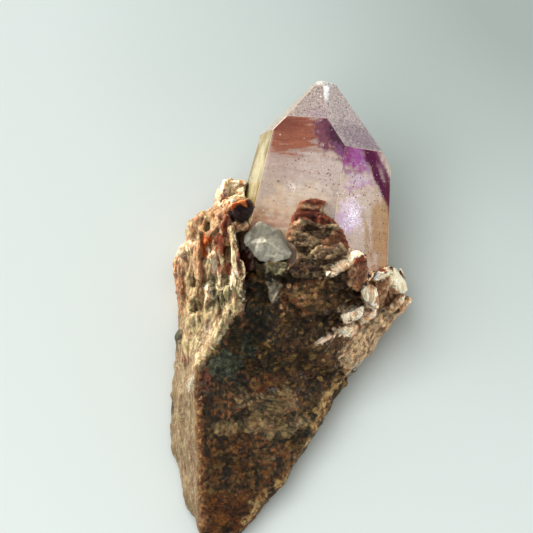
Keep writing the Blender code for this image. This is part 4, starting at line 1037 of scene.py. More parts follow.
@dataclass
class AmethystCrystal:
    """The large crystal: its faces, its striped and frosted skin, and what is caught inside it."""

    axis_lean_deg: float = 6.8
    axis_point: tuple[float, float, float] = (3.3, 25.0, -10.1)
    edge_mm: float = 0.6
    fine_edge_mm: float = 0.3
    fine_above: float = 11.0
    fine_below: float = 31.5
    fine_in_front: float = -4.0
    bevel_mm: float = 0.05
    step_mm: float = 0.035
    hillock_mm: float = 0.05
    root_relief_mm: float = 0.3
    same_facet: float = 0.004
    haze_code: str = "d2bfa8"
    clear_from: tuple[float, float] = (0.1, 0.38)
    clear_to: tuple[float, float] = (0.82, 0.97)
    body_kinds: int = 12

    def axis_frame(self) -> Matrix:
        """From the crystal's frame, with Z along it and Y to its front, to the specimen's."""
        lean = math.radians(self.axis_lean_deg)
        up = Vector((math.sin(lean), math.cos(lean), 0.0))
        front = Vector((0.0, 0.0, 1.0))
        basis = Matrix((up.cross(front), front, up)).transposed().to_4x4()
        return Matrix.Translation(Vector(self.axis_point)) @ basis

    def growth(self, places: np.ndarray) -> np.ndarray:
        """Specimen millimetres as the crystal's own millimetres."""
        back = np.array(self.axis_frame().inverted())
        return places @ back[:3, :3].T + back[:3, 3]

    def skin(self) -> tuple[bpy.types.Mesh, np.ndarray, np.ndarray]:
        """Builds the crystal's surface.

        Returns:
            The mesh, each face's direction in the crystal's frame, and each face's kind: 0 for a
            prism face, 1 for a tip face, 2 for the broken root and 3 for a worn edge.
        """
        bm = carried_mesh("amethyst")
        bmesh.ops.dissolve_limit(bm, angle_limit=math.radians(0.6), verts=bm.verts, edges=bm.edges)
        kept = bm.faces.layers.int.new("facet")
        bm.faces.ensure_lookup_table()
        directions = self.facings(bm)
        for i, face in enumerate(bm.faces):
            face[kept] = i + 1
        bmesh.ops.bevel(
            bm, geom=bm.edges[:] + bm.verts[:], offset=self.bevel_mm * MM, segments=1,
            affect="EDGES", profile=0.5, clamp_overlap=True,
        )
        bm.normal_update()
        flat = self.facings(bm)
        for face, facing in zip(bm.faces, flat):
            match = np.abs(directions - facing).sum(axis=1)
            face[kept] = int(match.argmin()) + 1 if match.min() < self.same_facet else 0
        bmesh.ops.triangulate(bm, faces=bm.faces)
        to_specimen = SPECIMEN.to_row.inverted()

        def is_long(edge: bmesh.types.BMEdge) -> bool:
            """Whether an edge is longer than its part of the crystal allows."""
            middle = to_specimen @ ((edge.verts[0].co + edge.verts[1].co) / 2)
            fine = middle.z > self.fine_in_front and self.fine_above < middle.y < self.fine_below
            return edge.calc_length() > (self.fine_edge_mm if fine else self.edge_mm) * MM

        cut_long_edges(bm, 10, is_long)
        self.grow_steps(bm, kept, directions)
        facets = np.array([f[kept] for f in bm.faces])
        for edge in bm.edges:
            edge.smooth = len({f[kept] for f in edge.link_faces}) == 1
        for face in bm.faces:
            face.smooth = True
        facing = np.vstack([[0.0, 0.0, 0.0], directions])[facets]
        kinds = np.where(facing[:, 2] > TIP_RISE, 1, 0)
        kinds = np.where(facing[:, 2] < -0.5, 2, kinds)
        kinds = np.where(facets == 0, 3, kinds)
        return mesh_of(bm, "amethyst_skin"), facing, kinds

    def facings(self, bm: bmesh.types.BMesh) -> np.ndarray:
        """The face directions of a row frame mesh, in the crystal's frame."""
        normals = SPECIMEN.directions(np.array([f.normal for f in bm.faces]))
        turn = np.array(self.axis_frame().inverted().to_3x3())
        return normals @ turn.T

    def grow_steps(self, bm: bmesh.types.BMesh, kept: object, directions: np.ndarray) -> None:
        """Moves points inside each face in and out, as growth steps and hillocks.

        Args:
            bm: The crystal's mesh.
            kept: The layer that holds each face's facet number.
            directions: Each facet's direction in the crystal's frame.
        """
        bm.normal_update()
        inverse = self.axis_frame().inverted() @ SPECIMEN.to_row.inverted()
        for vert in bm.verts:
            facets = {f[kept] for f in vert.link_faces}
            if len(facets) != 1 or 0 in facets:
                continue
            facing = directions[facets.pop() - 1]
            place = inverse @ vert.co
            if facing[2] > TIP_RISE:
                lift = noise.noise(place * 0.8) * 0.6 + noise.noise(place * 2.2) * 0.4
                vert.co += vert.normal * lift * self.hillock_mm * MM
            elif facing[2] > -TIP_RISE:
                wander = noise.noise(place * 0.22) * 1.4
                line = noise.noise(Vector((0.0, facing[0] * 9.0, (place.z + wander) * 1.1)))
                fine = noise.noise(Vector((2.0, facing[0] * 9.0, (place.z + wander * 0.5) * 2.6)))
                vert.co += vert.normal * (line + 0.6 * fine) * self.step_mm * MM
            else:
                vert.co += vert.normal * noise.noise(place * 0.5) * self.root_relief_mm * MM

    def haze(self, facing: np.ndarray, places: np.ndarray) -> np.ndarray:
        """The colour of the crystal's skin and of the haze just under it.

        Args:
            facing: Each corner's face direction in the crystal's frame.
            places: Each corner's place in specimen millimetres.

        Returns:
            A row of red, green, blue and clearness for each corner. Dense haze isn't clear.
        """
        colour = np.tile(linear(self.haze_code), (len(places), 1))
        for wash in WASHES:
            share = wash.share(facing, places)[:, None]
            colour = colour * (1.0 - share) + np.array(linear(wash.code)) * share
        mean = colour.mean(axis=1)
        clear = smooth_step(mean, *self.clear_from) * (1.0 - smooth_step(mean, *self.clear_to))
        return np.column_stack([colour, clear])

    def build(self) -> None:
        """Builds and dresses the crystal and what it holds."""
        mesh, facing, kinds = self.skin()
        points, _ = mesh_arrays(mesh)
        places = SPECIMEN.places(points)
        write_attribute(mesh, "growth", self.growth(places))
        corner_point = np.empty(len(mesh.loops), dtype=np.int32)
        mesh.loops.foreach_get("vertex_index", corner_point)
        corner_face = np.repeat(np.arange(len(mesh.polygons)), 3)
        haze = self.haze(facing[corner_face], places[corner_point])
        write_attribute(mesh, "haze", haze, "CORNER")
        for finish in (PRISM_QUARTZ, FROSTED_QUARTZ, BROKEN_QUARTZ, WORN_QUARTZ):
            mesh.materials.append(finish.build())
        mesh.polygons.foreach_set("material_index", kinds.astype(np.int32))
        add_piece("amethyst_crystal", mesh, "amethyst", "amethyst")
        self.add_inclusions(mesh)

    def scattered(
        self,
        tree: BVHTree,
        rng: np.random.Generator,
        clusters: tuple[tuple[tuple[float, float], tuple[float, float], int, float], ...],
        size: tuple[float, float],
        shape: tuple[float, float, float],
        sink: tuple[float, float],
    ) -> bpy.types.Mesh:
        """Scatters small bodies in and just under the crystal's front faces.

        Args:
            tree: The crystal's surface in specimen millimetres.
            rng: Draws the places and sizes.
            clusters: For each cluster its middle, spread and count, and how large its bodies are.
            size: The smallest and largest size in millimetres.
            shape: How long a body is along its three sides, for a size of one.
            sink: How deep the bodies' middles lie, from and to, in millimetres.

        Returns:
            The bodies as one mesh.
        """
        bodies = Shapes()
        kinds = [hull(block_corners(rng, 0.42)) for _ in range(self.body_kinds)]
        for middle, spread, count, large in clusters:
            for _ in range(count):
                u, v = np.array(middle) + rng.normal(0.0, 0.5, 2) * np.array(spread)
                hit, normal, _, _ = seen_at(tree, u, v)
                corners, faces = kinds[rng.integers(len(kinds))]
                scale = large * rng.uniform(*size) * np.array(shape) * rng.uniform(0.6, 1.2, 3)
                spin = Matrix.Rotation(rng.uniform(0, 3.1), 3, "Z")
                tip = Matrix.Rotation(rng.normal(0, 0.35), 3, "X")
                depth = rng.uniform(*sink)
                if hit is None:
                    continue
                lie = normal.to_track_quat("Z", "Y").to_matrix()
                corners = (corners * scale) @ np.array(lie @ tip @ spin).T
                bodies.add(SPECIMEN.in_row(corners + np.array(hit - normal * depth)), faces)
        return bodies.mesh("small_bodies")

    def add_inclusions(self, mesh: bpy.types.Mesh) -> None:
        """Sets goethite specks and the bright flakes of healed cracks in the crystal.

        Args:
            mesh: The crystal's skin, in the row frame.
        """
        bm = bmesh.new()
        bm.from_mesh(mesh)
        tree = surface_tree(bm)
        rng = np.random.default_rng(5)
        for finish, clusters, size, shape, sink in (
            (GOETHITE, SPECK_CLUSTERS, (0.11, 0.28), (1.0, 0.8, 0.5), (-0.02, 0.06)),
            (CRACK_FLAKES, FLAKE_CLUSTERS, (0.12, 0.28), (1.0, 0.8, 0.2), (-0.02, 0.05)),
        ):
            bodies = self.scattered(tree, rng, clusters, size, shape, sink)
            bodies.materials.append(finish.build())
            add_piece(finish.name, bodies, "amethyst")


class Face(Enum):
    """The crystal's faces: of the tip or not, and the angles that they look between."""

    TIP_FRONT = (True, -60, 20)
    TIP_RIGHT = (True, 20, 80)
    TIP_LEFT = (True, -110, -60)
    TIP_MIDDLE = (True, -60, 80)
    TIP_ALL = (True, -180, 180)
    FRONT = (False, -60, 20)
    FRONT_AND_LEFT = (False, -110, 20)
    LEFT = (False, -110, -60)
    RIGHT = (False, 20, 80)
    FRONT_AND_RIGHT = (False, -60, 80)
    FAR_RIGHT = (False, 80, 130)
    RIGHT_SIDE = (False, 20, 130)

    def holds(self, facing: np.ndarray) -> np.ndarray:
        """Whether each face direction, in the crystal's frame, belongs to these faces."""
        tip, low, high = self.value
        around = np.degrees(np.arctan2(facing[:, 0], facing[:, 1]))
        return (around > low) & (around < high) & ((facing[:, 2] > TIP_RISE) == tip)


@dataclass(frozen=True)
class Wash:
    """A soft patch of colour on some of the crystal's faces, with a ragged edge."""

    code: str
    face: Face
    middle: tuple[float, float]
    radii: tuple[float, float]
    strength: float = 1.0
    turn_deg: float = 0.0
    soft: float = 0.5
    ragged: float = 0.0
    grain_mm: tuple[float, float] = (1.0, 1.0)

    def share(self, facing: np.ndarray, places: np.ndarray) -> np.ndarray:
        """How much of this colour each point has.

        Args:
            facing: Each point's face direction in the crystal's frame.
            places: Each point's place in specimen millimetres.

        Returns:
            A share from 0 to 1 for each point.
        """
        across, along, reach = in_oval(places, self.middle, self.radii, self.turn_deg)
        near = self.face.holds(facing) & (reach < 1.0 + self.soft + self.ragged)
        if self.ragged:
            grain = self.grain_mm
            drawn = np.column_stack([across / grain[0], along / grain[1], places[:, 2] * 0.3])
            reach[near] += 2.0 * self.ragged * soft_noise(drawn[near], 1.0, 71.0)
        inside = 1.0 - smooth_step(reach, 1.0 - self.soft, 1.0 + self.soft)
        return np.where(near, self.strength * inside, 0.0)


# Colour on the crystal's faces, later ones over earlier ones.
WASHES: tuple[Wash, ...] = (
    Wash("a2948f", Face.TIP_FRONT, (2, 33.5), (10, 10), 1, 0, 0.3),
    Wash("ccbab6", Face.TIP_RIGHT, (8.33, 31), (10, 10), 1, 0, 0.3),
    # Painted shade and a painted purple reflection at the low end of the right tip face.
    Wash("96828c", Face.TIP_RIGHT, (11, 27.67), (4.33, 2), 0.9, -30, 0.5, 0.5, (0.5, 0.5)),
    Wash("8e7a86", Face.TIP_FRONT, (3.33, 32.17), (2, 1.33), 0.6, 0, 0.6, 0.4, (0.5, 0.5)),
    Wash("a89e94", Face.TIP_LEFT, (-1.67, 33.5), (10, 10), 1, 0, 0.3),
    # Painted reflection: a white streak down the tip's ridge and a pale apex, where a chip catches
    # the light.
    Wash("ffffff", Face.TIP_MIDDLE, (4.47, 36.33), (0.4, 2), 1, -2, 0.3, 0.2, (0.4, 0.4)),
    Wash("f0ebe4", Face.TIP_ALL, (4.33, 37.67), (1.67, 0.67), 1, 0, 0.3),
    Wash("c2ae9e", Face.FRONT, (0, 19.33), (15, 15), 1, 0, 0.3),
    Wash("c4a89e", Face.FRONT, (0.33, 24.33), (6.67, 3.33), 0.7, 0, 0.5, 0.3, (3, 0.8)),
    Wash("8a5038", Face.FRONT, (-2, 29.67), (5.67, 4.17), 1, 0, 0.2, 0.25, (3, 0.4)),
    Wash("6a3020", Face.FRONT, (-2.67, 30.5), (3.67, 1.17), 0.75, 0, 0.5, 0.4, (3, 0.3)),
    Wash("7c4630", Face.FRONT, (-1.33, 28), (4.33, 0.33), 0.6, -1, 0.5, 0.8, (2, 0.2)),
    Wash("84503c", Face.FRONT, (-0.67, 26.33), (4.33, 0.27), 0.6, -1, 0.5, 0.8, (2, 0.2)),
    Wash("a87460", Face.FRONT, (-1.67, 25), (4, 0.27), 0.4, 1, 0.5, 0.8, (2, 0.2)),
    Wash("d2c0ba", Face.FRONT, (3.67, 22), (4, 3), 0.7, 0, 0.6, 0.4, (1.5, 1)),
    Wash("6a3648", Face.FRONT, (4.5, 29), (2, 3.33), 1, 14, 0.4, 0.3, (0.5, 0.5)),
    Wash("3e062a", Face.FRONT, (6.83, 27.83), (1.5, 4.17), 1, 30, 0.45, 0.2, (0.5, 0.5)),
    Wash("32081f", Face.FRONT, (7.08, 26.33), (0.92, 1.67), 1, 12, 0.5, 0.2, (0.5, 0.5)),
    Wash("74406a", Face.FRONT, (6.83, 25.5), (0.83, 1.67), 0.8, 20, 0.5, 0.4, (0.6, 0.6)),
    Wash("e0c4a4", Face.FRONT, (-2.5, 15.17), (6.67, 4), 0.8, 0, 0.5, 0.4, (1.5, 1.5)),
    Wash("e0cebc", Face.FRONT, (1, 18.67), (3.33, 1.67), 0.8, 0, 0.5, 0.5, (1, 1)),
    Wash("f6ece4", Face.FRONT, (-1.33, 20), (0.5, 0.83), 0.7, 30, 0.4, 0.4, (0.4, 0.4)),
    Wash("c49478", Face.FRONT, (-6, 13.67), (3.67, 1.67), 0.7, 10, 0.5, 0.5, (1, 1)),
    Wash("dccabc", Face.FRONT, (-5.67, 23.5), (0.17, 6), 0.5, -12, 0.4, 0.6, (0.5, 2)),
    Wash("3c1a12", Face.FRONT_AND_LEFT, (-9.17, 7.33), (1.5, 2.83), 1, 0, 0.3, 0.3, (0.6, 0.6)),
    Wash("746640", Face.LEFT, (-6.33, 24.33), (6.67, 13.33), 1, 0, 0.3),
    Wash("9c7850", Face.LEFT, (-8, 27.33), (0.67, 3.67), 0.8, -18, 0.5, 0.5, (0.4, 2)),
    Wash("dccfa4", Face.LEFT, (-7, 23), (0.67, 5.67), 0.8, -14, 0.5, 0.4, (0.4, 2)),
    Wash("dac6b8", Face.RIGHT, (10.83, 17.67), (10, 15), 1, 0, 0.3),
    Wash("8a4480", Face.RIGHT, (9.67, 24.83), (3.17, 2.33), 1, -14, 0.7, 0.5, (0.6, 0.6)),
    Wash("702e50", Face.RIGHT, (8.08, 25.33), (0.83, 1.67), 0.85, 20, 0.5, 0.3, (0.5, 0.5)),
    Wash("a860a6", Face.RIGHT, (9.5, 24.83), (1.17, 1.17), 0.4, 0, 0.6, 0.5, (0.4, 0.4)),
    Wash("4a1430", Face.RIGHT, (12, 25), (1.33, 2), 1, 22, 0.45, 0.2, (0.5, 0.8)),
    Wash("5a1e44", Face.RIGHT, (14.33, 22.33), (0.47, 4), 0.9, 24, 0.35, 0.35, (0.4, 2)),
    Wash("b48cb4", Face.RIGHT, (11.33, 23), (0.33, 1.67), 0.6, 24, 0.4, 0.6, (0.3, 1)),
    Wash("c8a48c", Face.RIGHT, (15, 24), (0.3, 1.5), 0.8, 22, 0.4, 0.3, (0.4, 1)),
    Wash("b478b4", Face.RIGHT, (10.33, 20.33), (2.33, 0.67), 0.6, 12, 0.5, 0.8, (0.8, 0.5)),
    Wash("dcc8dc", Face.RIGHT, (9.67, 21), (1.67, 1), 0.7, 0, 0.5, 0.4, (0.8, 0.8)),
    # Whitish healed cracks, with their glitter painted in as a pale pink-white wash.
    Wash("f4dcec", Face.FRONT_AND_RIGHT, (8.67, 15.5), (1.5, 2.67), 1, 8, 0.35, 0.6, (0.5, 0.5)),
    Wash("e0c0e8", Face.FRONT_AND_RIGHT, (7.5, 14), (1.33, 1.5), 0.8, 0, 0.4, 0.8, (0.4, 0.4)),
    Wash("f2e2f4", Face.FRONT_AND_RIGHT, (9, 15.17), (0.83, 1.83), 0.9, 8, 0.4, 0.9, (0.3, 0.3)),
    Wash("bc9468", Face.RIGHT, (14, 11), (2.33, 7.33), 0.9, 4, 0.5, 0.5, (0.8, 3)),
    Wash("a87c56", Face.RIGHT, (15.17, 10.17), (0.67, 5), 0.7, 2, 0.5, 0.5, (0.4, 3)),
    Wash("a07c70", Face.FAR_RIGHT, (15, 21), (10, 6.67), 1, 0, 0.4),
    Wash("501c48", Face.FAR_RIGHT, (15, 19), (1, 3.67), 1, 8, 0.4, 0.4, (0.4, 1.5)),
    Wash("b09470", Face.FAR_RIGHT, (14.67, 11), (10, 5), 1, 0, 0.4),
    Wash("4c1636", Face.RIGHT_SIDE, (13.17, 21.5), (0.7, 5.5), 1, 22, 0.35, 0.25, (0.4, 2)),
    Wash("4c1830", Face.RIGHT_SIDE, (14.92, 18.67), (0.6, 3.67), 1, 8, 0.35, 0.2, (0.4, 2)),
)


# Where the goethite specks lie: each cluster's middle, spread and count.
SPECK_CLUSTERS = (
    ((0, 26), (7.67, 6.67), 80, 1),
    ((4.17, 21.83), (5, 6.67), 90, 0.9),
    ((0, 17.67), (8.33, 6), 80, 0.9),
    ((10.83, 16.83), (4.33, 10), 110, 0.9),
    ((12, 10.17), (4.33, 5), 100, 0.9),
    ((8.33, 24.33), (4, 3.33), 16, 1),
    ((-6.33, 13), (3.33, 2.67), 18, 1),
    ((6.67, 17.67), (5, 5), 36, 0.8),
    ((14.67, 14.33), (1, 8.33), 26, 0.9),
    ((-1.67, 29.33), (5, 3.33), 40, 0.8),
)

# Where the healed cracks glitter: each cluster's middle, spread and count.
FLAKE_CLUSTERS = (
    ((8.67, 15.33), (1.5, 3.33), 260, 0.7),
    ((9, 15), (1, 1.83), 240, 0.7),
    ((7.83, 13.67), (1.33, 1.33), 90, 0.7),
    ((9.67, 24), (3, 1.67), 30, 0.4),
    ((13.67, 20.33), (1.33, 4.33), 12, 0.5),
    ((13, 24.33), (1.33, 1), 5, 0.6),
    ((0, 21), (10, 10), 24, 0.5),
    ((4, 35), (1.67, 2.67), 24, 0.7),
    ((7.5, 32.33), (5, 6.67), 60, 0.4),
    ((3, 33), (5, 3.33), 26, 0.4),
)

# Grown prism faces: glassy with fine cross stripes, so the eye sees colour through them.
PRISM_QUARTZ = QuartzFinish(
    "striped_prism_amethyst", 0.1, 0.5, "e8d2c8", 0.02, 0.55, 0.35, 0.5, 0.15, gloss=0.05
)
# Etched tip faces: matt and sugary, so they glow pale instead of reflecting.
FROSTED_QUARTZ = QuartzFinish(
    "frosted_tip_amethyst", 0.42, 0.45, "e8d2c8", 0.02, 2.0, 0.0, 0.28, 0.9, mottle=0.9
)
# The broken root: uneven shell-like fracture that scatters its reflections.
BROKEN_QUARTZ = QuartzFinish("broken_root_amethyst", 0.3, 0.4, "e8d2c8", 0.02, 2.0, 0.1, 0.8, 0.8)
# Edges worn by handling: a thin paler line that catches the light.
WORN_QUARTZ = QuartzFinish("worn_edge_amethyst", 0.3, 0.3, "e8d2c8", 0.02, 2.0, 0.0, 0.4, 0.5)
# Quartz grown cloudy and ribbed: grey-white and nearly solid to the eye.
MILKY_QUARTZ = QuartzFinish(
    "milky_ribbed_quartz", 0.45, 0.25, "e6e2d4", 0.1, 0.5, 0.4, 0.4, 0.8, mottle=0.3
)
# Quartz stained by iron water: a warm pale yellow, a little clear.
YELLOW_QUARTZ = QuartzFinish("stained_yellow_quartz", 0.3, 0.3, "e8dcb4", 0.1, 0.8, 0.3, 0.5, 0.5)
# Goethite grown as dull grains: fine red-brown dots under the crystal's faces.
GOETHITE = SpeckFinish("goethite_specks", "5a1e14", "8a4630", 0.6)
# Thin healed cracks: bright flakes that glitter pink-white.
CRACK_FLAKES = SpeckFinish("healed_crack_flakes", "ffe8f6", "ffffff", 0.15)


# Ground that broke along one flat cleavage face, so its ledges have less relief.
SMOOTH_GROUNDS = (Mineral.PALE, Mineral.KNOB, Mineral.TIP, Mineral.SHADED_CHEEK)


@dataclass
class FeldsparRock:
    """The rock that the crystals grow on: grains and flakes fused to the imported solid's surface."""

    cell_mm: float = 0.26
    triangles: int = 190000
    flakes: int = 1300
    flake_mm: tuple[float, float] = (0.4, 0.95)
    proud: float = 0.15
    grain_mm: tuple[float, float, float] = (4.2, 4.2, 4.2)
    # The steps' direction and its spread in degrees, and their pitch and relief in millimetres.
    cleavage_usual: tuple[float, float, float, float] = (112.0, 90.0, 1.2, 0.24)
    fine_mm: tuple[float, float, float] = (0.8, 0.8, 0.8)
    fine_relief: float = 0.08
    crumb_relief: float = 0.05
    # The sizes of the surface's patterns, in millimetres.
    warp_mm: float = 2.2
    ripple_mm: float = 1.4
    fold_mm: float = 1.5
    small_fold_mm: float = 0.48
    crumb_mm: float = 0.6
    tint_grains_mm: tuple[float, float] = (1.5, 0.6)
    mottle_mm: float = 1.4
    fabric_mm: float = 5.0
    # The grains' long direction on the left side and on the front, in degrees.
    left_turn_deg: float = -4.0
    front_turn_deg: float = -58.0
    # Seams on the rim end where the surface turns away from the viewer by more than this.
    rim_facing: float = 0.2
    wear_rounds: int = 3
    lower_rounds: int = 26
    seed: int = 23
    # Flakes keep off the floor, the crystal's seat, the ridge and the small quartz bodies.
    floor_gap: float = 1.2
    seat_radius: float = 12.2
    seat_bottom: float = -16.0
    ridge_gap: float = 0.6
    quartz_gap: float = 1.6
    flake_facing: float = 0.45
    far_facing: float = -0.25
    sharp_deg: float = 38.0
    # What iron stain and painted shade in the cracks, and the darkening of surfaces that face away
    # from the front, leave of red, green and blue.
    stain: tuple[float, float, float] = (0.32, 0.25, 0.2)
    away_facing_darkening: tuple[float, float, float] = (0.5, 0.44, 0.38)

    def is_left(self, places: np.ndarray) -> np.ndarray:
        """How far each point lies to the left of the rock's long ridge, in millimetres."""
        line = np.array(RIDGE)[::-1]
        return np.interp(places[:, 1], line[:, 1], line[:, 0]) - places[:, 0]

    def add_flakes(self, rock: bmesh.types.BMesh, bodies: Shapes) -> None:
        """Adds small cleavage flakes to the bodies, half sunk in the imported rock's front.

        Args:
            rock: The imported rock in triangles, in the row frame.
            bodies: Takes the flakes' shapes.
        """
        faces = [f for f in rock.faces if f.calc_center_median().z > self.floor_gap * MM]
        rng = np.random.default_rng(self.seed)
        areas = np.array([f.calc_area() for f in faces])
        picked = rng.choice(len(faces), self.flakes, p=areas / areas.sum())
        kinds = [hull(block_corners(rng, 0.3)) for _ in range(24)]
        spots, normals = [], []
        for i in picked:
            a, b, c = (np.array(v.co) for v in faces[i].verts)
            r, s = sorted(rng.uniform(0, 1, 2))
            spots.append(a * r + b * (s - r) + c * (1 - s))
            normals.append(np.array(faces[i].normal))
        spots = SPECIMEN.places(np.array(spots))
        normals = SPECIMEN.directions(np.array(normals))
        near = AmethystCrystal().growth(spots)
        kept = np.hypot(near[:, 0], near[:, 1]) >= self.seat_radius
        kept |= near[:, 2] <= self.seat_bottom
        kept &= self.is_left(spots) <= -self.ridge_gap
        kept &= normals[:, 2] >= self.flake_facing
        kept &= self.gap_to_quartz(spots) >= self.quartz_gap
        for spot, normal in zip(spots[kept], normals[kept]):
            corners, sides = kinds[rng.integers(len(kinds))]
            size = rng.uniform(*self.flake_mm) * np.array(
                [1.0, rng.uniform(0.6, 1.3), rng.uniform(0.5, 1.0)]
            )
            pitch, roll = (Matrix.Rotation(rng.normal(0, 0.45), 3, axis) for axis in "XY")
            turn = Matrix.Rotation(rng.normal(0.1, 0.9), 3, "Z") @ (pitch @ roll)
            place = spot + normal * (self.proud - 0.5) * size.min() * 0.6
            bodies.add(SPECIMEN.in_row((corners * size) @ np.array(turn).T + place), sides)

    def fused(self, pieces: bpy.types.Mesh) -> bpy.types.Mesh:
        """Fuses the rock and what is stuck in it to one skin, coarser on the far side.

        Args:
            pieces: The rock with its flakes and ledges.

        Returns:
            The skin.
        """
        carrier = bpy.data.objects.new("rock_pieces", pieces)
        bpy.context.scene.collection.objects.link(carrier)
        fuse = carrier.modifiers.new("fuse", "REMESH")
        fuse.mode = "VOXEL"
        fuse.voxel_size = self.cell_mm * MM
        carrier.data = evaluated_mesh(carrier)
        carrier.modifiers.clear()
        _, normals = mesh_arrays(carrier.data)
        away = SPECIMEN.directions(normals)[:, 2] < self.far_facing
        group = carrier.vertex_groups.new(name="far_side")
        group.add(np.flatnonzero(away).tolist(), 1.0, "REPLACE")
        thin = carrier.modifiers.new("thin", "DECIMATE")
        thin.vertex_group = group.name
        thin.ratio = self.triangles / (2.0 * len(carrier.data.polygons))
        made = evaluated_mesh(carrier)
        bpy.data.objects.remove(carrier)
        return made

    def flaked(self) -> bpy.types.Mesh:
        """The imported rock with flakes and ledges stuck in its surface, fused to one worn skin."""
        rock = carried_mesh("matrix")
        bmesh.ops.triangulate(rock, faces=rock.faces)
        bodies = Shapes()
        self.add_flakes(rock, bodies)
        self.add_ledges(rock, bodies)
        stuck = bmesh.new()
        stuck.from_mesh(bodies.mesh("flakes"))
        bmesh.ops.recalc_face_normals(stuck, faces=stuck.faces)
        rock.from_mesh(mesh_of(stuck, "stuck"))
        made = self.fused(mesh_of(rock, "rock_pieces"))
        self.worn(made)
        return made

    def worn(self, mesh: bpy.types.Mesh) -> None:
        """Rounds the surface as weather did, most on the left side and low down.

        Args:
            mesh: The fused mesh, changed in place.
        """
        moved, _ = mesh_arrays(mesh)
        places = SPECIMEN.places(moved)
        left = smooth_step(self.is_left(places), 0.0, 1.0)[:, None]
        low = smooth_step(-places[:, 1], 1.0, 5.0)[:, None]
        for _ in range(self.wear_rounds):
            moved = moved + (neighbour_mean(mesh, moved) - moved) * (0.15 + 0.55 * left)
        for _ in range(self.lower_rounds):
            moved = moved + (neighbour_mean(mesh, moved) - moved) * 0.8 * low
        set_points(mesh, moved)
        mesh.update()

    def flutes(self, places: np.ndarray) -> np.ndarray:
        """The height of the long upright folds on the rock's left side, in millimetres.

        Args:
            places: The surface's points in specimen millimetres.

        Returns:
            A height for each point, low in the creases between the folds.
        """
        sway = soft_noise(places * np.array([0.5, 0.3, 0.5]), 1.6, 51.0)
        drawn = places * np.array([1.0, 0.17, 0.5]) + sway[:, None] * np.array([0.8, 0.0, 0.0])
        upper = smooth_step(places[:, 1], -12.0, 1.0)
        broad = np.abs(soft_noise(drawn, self.fold_mm, 52.0)) - 0.2
        drawn = drawn * np.array([1.0, 1.6, 1.0])
        fine = np.abs(soft_noise(drawn, self.small_fold_mm, 53.0)) - 0.2
        crumb = soft_noise(places, self.crumb_mm, 54.0)
        return broad * (0.16 + 0.69 * upper) + fine * (0.14 + 0.3 * upper) + crumb * 0.06

    def gap_to_quartz(self, places: np.ndarray) -> np.ndarray:
        """How far each place is from the two small quartz bodies, in millimetres."""
        gaps = np.full(len(places), FAR)
        for node in ("quartz_foot", "quartz_side"):
            bm = carried_mesh(node)
            box = SPECIMEN.places(np.array([v.co for v in bm.verts]))
            tree = surface_tree(bm)
            near = (places > box.min(axis=0) - 3.0).all(axis=1)
            near &= (places < box.max(axis=0) + 3.0).all(axis=1)
            found = [tree.find_nearest(Vector(p))[3] for p in places[near]]
            gaps[near] = np.minimum(gaps[near], found)
        return gaps

    def add_ledges(self, rock: bmesh.types.BMesh, bodies: Shapes) -> None:
        """Adds the ledges to the bodies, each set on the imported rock's face.

        Args:
            rock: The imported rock, in the row frame.
            bodies: Takes the ledges' shapes.
        """
        tree = surface_tree(rock.copy())

        def height_at(u: float, v: float) -> float | None:
            """The rock's height at a place on its face, or None off the rock."""
            hit = seen_at(tree, u, v)[0]
            return None if hit is None else hit.z

        for ledge in LEDGES:
            corners, sides = ledge.body(height_at)
            bodies.add(SPECIMEN.in_row(corners), sides)

    def cleavage(self, places: np.ndarray) -> np.ndarray:
        """The height of the rock's broken cleavage steps.

        Each large grain has its own direction of steps, near the direction that its part of the
        rock has, with finer steps across them.

        Args:
            places: The surface's points in specimen millimetres.

        Returns:
            A height in millimetres for each point.
        """
        warp = [soft_noise(places, self.warp_mm, seed) for seed in (21.0, 22.0, 23.0)]
        warp = np.stack(warp, axis=1)
        grains = Grains.around(places + warp * 0.9, self.grain_mm, 41)
        chance = grains.random(43)
        angle, spread, pitch, relief = (np.full(len(places), v) for v in self.cleavage_usual)
        for zone, *values in CLEAVAGES:
            here = zone.depth_inside(places) > 0
            angle[here], spread[here], pitch[here], relief[here] = values
        turn = np.radians(angle + spread * (chance[:, 0] - 0.5))
        lift = (chance[:, 1] - 0.5) * relief * 0.9
        ripple = soft_noise(places, self.ripple_mm, 11.0)
        for k, (scale, share, extra) in enumerate(((1.0, 1.0, 0.0), (0.52, 0.45, 1.35))):
            across = np.cos(turn + extra) * places[:, 0] + np.sin(turn + extra) * places[:, 1]
            across += (chance[:, 2] - 0.5) * 1.2 * places[:, 2]
            count = across / (pitch * scale) + 0.42 * ripple + chance[:, 2] * 9.0
            step = np.floor(count)
            marks = grains.cell.copy()
            marks[:, 0] = marks[:, 0] * 131 + step.astype(np.int64)
            tall = 0.25 + 0.75 * hashed(marks, 47 + k)[:, 0]
            lift += relief * share * tall * (count - step - 0.5)
        return lift

